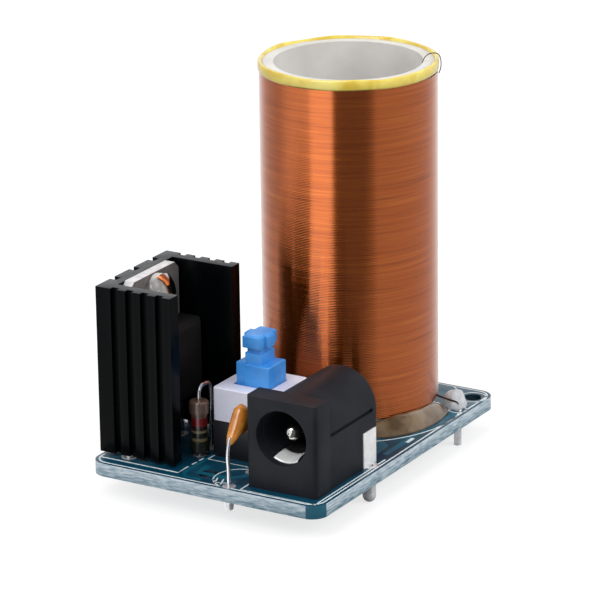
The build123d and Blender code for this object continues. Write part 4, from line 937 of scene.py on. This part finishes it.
def leaf_tongue():
    """The bright crest of the sleeve contact that shows just inside the mouth, curved like the bore."""
    rows, columns = 8, 16
    verts, faces = [], []
    for skin in (0.0, TONGUE_T):
        for i in range(rows + 1):
            y = JACK_LOW.y + (TONGUE_START + (TONGUE_END - TONGUE_START) * i / rows) * MM
            radius = (TONGUE_R - TONGUE_CREST * sin(i / rows * pi * 0.62) + skin) * MM
            for k in range(columns + 1):
                angle = radians(-90 + TONGUE_ARC * (2 * k / columns - 1))
                verts.append((JACK_X + radius * cos(angle), y, JACK_Z + radius * sin(angle)))
    size = columns + 1
    under = (rows + 1) * size
    for i in range(rows):
        for k in range(columns):
            a = i * size + k
            faces.append((a, a + 1, a + size + 1, a + size))
            faces.append((under + a, under + a + size, under + a + size + 1, under + a + 1))
    edge = [*range(size)] + [i * size + columns for i in range(1, rows + 1)]
    edge += [rows * size + k for k in reversed(range(columns))] + [i * size for i in range(rows - 1, 0, -1)]
    for a, b in zip(edge, edge[1:] + edge[:1]):
        faces.append((a, under + a, under + b, b))
    return verts, faces


tongue = new_piece("leaf_tongue", *leaf_tongue(), "contact", "spring_strip", body=None)
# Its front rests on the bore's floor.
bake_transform(tongue)


# ================================================================ lamp insides
POST_R, POST_OUT, POST_BASE = 0.14 * MM, 0.62 * MM, 0.25 * MM
CUP_FOOT, CUP_RIM = 0.9 * MM, 0.2 * MM
# Each post's side, the radius of its cup and its height, in millimetres.
LAMP_POSTS = ((-1, 0.42, 2.9), (1, 0.26, 2.6))


def lamp_frame(node):
    """The two posts and the cup that show through a lamp's lens."""
    low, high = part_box(node)
    middle = (low + high) / 2
    parts = []
    for side, wide, tall in LAMP_POSTS:
        foot = Vector((middle.x + side * POST_OUT, middle.y, 0))
        top, cup = low.z + tall * MM, wide * MM
        profile = [(POST_R, low.z + POST_BASE), (POST_R, top - CUP_FOOT), (cup, top - CUP_RIM), (cup, top)]
        verts, faces = lathe(foot, profile, 12)
        # The profile goes upwards, so the faces are turned round.
        parts.append((verts, [face[::-1] for face in faces]))
    return join_parts(parts)


for lens in ("feedback_lamp_lens", "power_lamp_lens"):
    new_piece(lens.replace("lens", "frame"), *lamp_frame(lens), "tinned", "tinned_wire")


def flexing_spring():
    """The CAD spring's own mesh, as a piece of its own."""
    source = nodes["switch_return_spring"]
    verts = [source.matrix_world @ vertex.co for vertex in source.data.vertices]
    return verts, [tuple(face.vertices) for face in source.data.polygons]


bpy.context.view_layer.update()
spring = new_piece("flexing_spring", *flexing_spring(), "spring", "spring_wire", body=None)
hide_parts("switch_return_spring")
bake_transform(spring)


# ================================================================ edges of the CAD pieces
EDGE_R = {
    "heat_sink": 0.27, "jack_housing": 0.16, "switch_base": 0.08, "switch_plunger": 0.05,
    "transistor_tab": 0.06, "transistor_case": 0.08, "jack_side_terminal": 0.05, "pcb_board": 0.08,
}
SMOOTH_ANGLE = radians(32)
WELD = 0.002 * MM
for name, piece in nodes.items():
    if piece.hide_render:
        continue
    weld = piece.modifiers.new("weld", "WELD")
    weld.merge_threshold = WELD
    piece.data.polygons.foreach_set("use_smooth", [True] * len(piece.data.polygons))
    if name in EDGE_R:
        bevel = piece.modifiers.new("edges", "BEVEL")
        bevel.width = EDGE_R[name] * MM
        bevel.segments = 3
        bevel.limit_method = "ANGLE"
        bevel.angle_limit = SMOOTH_ANGLE
    split = piece.modifiers.new("creases", "EDGE_SPLIT")
    split.split_angle = SMOOTH_ANGLE


# ================================================================ floor, light and camera
VIEW_TARGET = Vector((4.7, -6.2, 24.4)) * MM
VIEW_AZIMUTH, VIEW_ELEVATION, VIEW_ROLL = radians(30.83), radians(18.63), radians(-0.77)
VIEW_DISTANCE = 413.5 * MM
VIEW_SHIFT_RIGHT, VIEW_SHIFT_UP = -0.35 * MM, -1.68 * MM
VIEW_LENS, VIEW_SENSOR = 218.2, 36.0
AMBIENT = 0.65
FLOOR_TONE, FLOOR_GLOW, FLOOR_HALF = 0.35, 0.72, 0.6
# What stands round the object, as (azimuth in degrees, brightness), the azimuth as the camera's is given.
ROOM = [
    (180, 0.85), (150, 0.58), (66, 0.48), (61, 0.15), (13, 0.15), (9.5, 1.5), (-20, 1.5), (-22, 1.0),
    (-55, 0.85), (-72, 0.5), (-100, 0.55), (-135, 1.0), (-180, 0.9),
]
ROOM_TOP = 1.5


def backdrop_tree(tree):
    """An adder of nodes to a tree, and the studio's brightness round the compass as one of its outputs."""

    def add(kind, inputs=None, **properties):
        return add_node(tree, kind, inputs, **properties)

    def room(place):
        # What lies at the azimuth a, in degrees, comes to 0.5 - a / 360 on the ramp.
        turned = add("ShaderNodeVectorMath", {0: place, 1: (-1, -1, -1)}, operation="MULTIPLY")
        way = add("ShaderNodeSeparateXYZ", {0: turned.outputs[0]})
        angle = add("ShaderNodeMath", {0: way.outputs[0], 1: way.outputs[1]}, operation="ARCTAN2")
        share = add("ShaderNodeMath", {0: angle.outputs[0], 1: 1 / tau, 2: 0.5}, operation="MULTIPLY_ADD")
        node = add("ShaderNodeValToRGB", {0: share.outputs[0]})
        elements = node.color_ramp.elements
        while len(elements) < len(ROOM):
            elements.new(0.5)
        for element, (azimuth, value) in zip(elements, ROOM):
            grey = value / ROOM_TOP
            element.position = 0.5 - azimuth / 360
            element.color = (grey, grey, grey, 1)
        return node.outputs[0]

    return add, room


def floor():
    """A pale floor under the joints that keeps the shadow, and the studio's brightness in reflections."""
    mesh = bpy.data.meshes.new("floor")
    corners = [(x * FLOOR_HALF, y * FLOOR_HALF, 0) for x, y in ((-1, -1), (1, -1), (1, 1), (-1, 1))]
    mesh.from_pydata(corners, [], [(0, 1, 2, 3)])
    piece = bpy.data.objects.new("floor", mesh)
    bpy.context.scene.collection.objects.link(piece)
    material = bpy.data.materials.new("floor")
    material.use_nodes = True
    material.node_tree.nodes.clear()
    add, room = backdrop_tree(material.node_tree)
    path = add("ShaderNodeLightPath").outputs
    pale = add("ShaderNodeBsdfDiffuse", {"Color": (FLOOR_TONE, FLOOR_TONE, FLOOR_TONE, 1)})
    glow = add("ShaderNodeEmission", {"Strength": FLOOR_GLOW})
    lit = add("ShaderNodeAddShader", {0: pale.outputs[0], 1: glow.outputs[0]})
    seen = add("ShaderNodeMixShader", {0: path["Is Camera Ray"], 1: pale.outputs[0], 2: lit.outputs[0]})
    place = add("ShaderNodeTexCoord").outputs["Object"]
    boxes = add("ShaderNodeEmission", {"Color": room(place), "Strength": ROOM_TOP})
    out = add("ShaderNodeMixShader", {0: path["Is Glossy Ray"], 1: seen.outputs[0], 2: boxes.outputs[0]})
    add("ShaderNodeOutputMaterial", {0: out.outputs[0]})
    mesh.materials.append(material)


def studio_world():
    """White to the camera, an even pale light on the colours, soft boxes and dark sides in reflections."""
    world = bpy.data.worlds.new("studio")
    bpy.context.scene.world = world
    world.use_nodes = True
    tree = world.node_tree
    tree.nodes.clear()
    add, room = backdrop_tree(tree)
    reflected = room(add("ShaderNodeTexCoord").outputs["Generated"])
    path = add("ShaderNodeLightPath").outputs
    seen = add("ShaderNodeBackground", {"Color": (1, 1, 1, 1), "Strength": AMBIENT})
    boxes = add("ShaderNodeBackground", {"Color": reflected, "Strength": ROOM_TOP})
    white = add("ShaderNodeBackground", {"Color": (1, 1, 1, 1), "Strength": 1.0})
    for ray, shown in (("Is Glossy Ray", boxes), ("Is Transmission Ray", white), ("Is Camera Ray", white)):
        seen = add("ShaderNodeMixShader", {0: path[ray], 1: seen.outputs[0], 2: shown.outputs[0]})
    add("ShaderNodeOutputWorld", {0: seen.outputs[0]})


def direction(azimuth, elevation):
    """The way from the object to a viewer or a lamp. Azimuth 0 is in front, and it grows to the right."""
    return Vector((sin(azimuth) * cos(elevation), -cos(azimuth) * cos(elevation), sin(elevation)))


def soft_light(name, azimuth, elevation, distance, size, power, mirrored=False):
    """A square soft light placed as a camera would be. Unless it is mirrored, reflections leave it out."""
    data = bpy.data.lights.new(name, "AREA")
    data.energy = power
    data.size = size
    light = bpy.data.objects.new(name, data)
    bpy.context.scene.collection.objects.link(light)
    way = direction(radians(azimuth), radians(elevation))
    light.visible_glossy = mirrored
    light.location = VIEW_TARGET + way * distance
    light.rotation_euler = (-way).to_track_quat("-Z", "Y").to_euler()


def camera():
    """The photograph's viewpoint."""
    right = Vector((cos(VIEW_AZIMUTH), sin(VIEW_AZIMUTH), 0))
    back = direction(VIEW_AZIMUTH, VIEW_ELEVATION)
    up = back.cross(right)
    place = VIEW_TARGET + back * VIEW_DISTANCE + right * VIEW_SHIFT_RIGHT + up * VIEW_SHIFT_UP
    rolled_right = right * cos(VIEW_ROLL) + up * sin(VIEW_ROLL)
    rolled_up = up * cos(VIEW_ROLL) - right * sin(VIEW_ROLL)
    data = bpy.data.cameras.new("camera")
    data.lens = VIEW_LENS
    data.sensor_width = VIEW_SENSOR
    data.clip_start = 0.01
    piece = bpy.data.objects.new("camera", data)
    bpy.context.scene.collection.objects.link(piece)
    turn = Matrix((rolled_right, rolled_up, back)).transposed()
    piece.matrix_world = Matrix.Translation(place) @ turn.to_4x4()
    bpy.context.scene.camera = piece


floor()
studio_world()
soft_light("key", azimuth=-5, elevation=48, distance=0.5, size=0.3, power=1.1, mirrored=True)
soft_light("right", azimuth=105, elevation=32, distance=0.5, size=0.35, power=1.25)
soft_light("left", azimuth=-100, elevation=30, distance=0.5, size=0.35, power=0.4)
camera()
bpy.context.scene.view_settings.view_transform = "Standard"
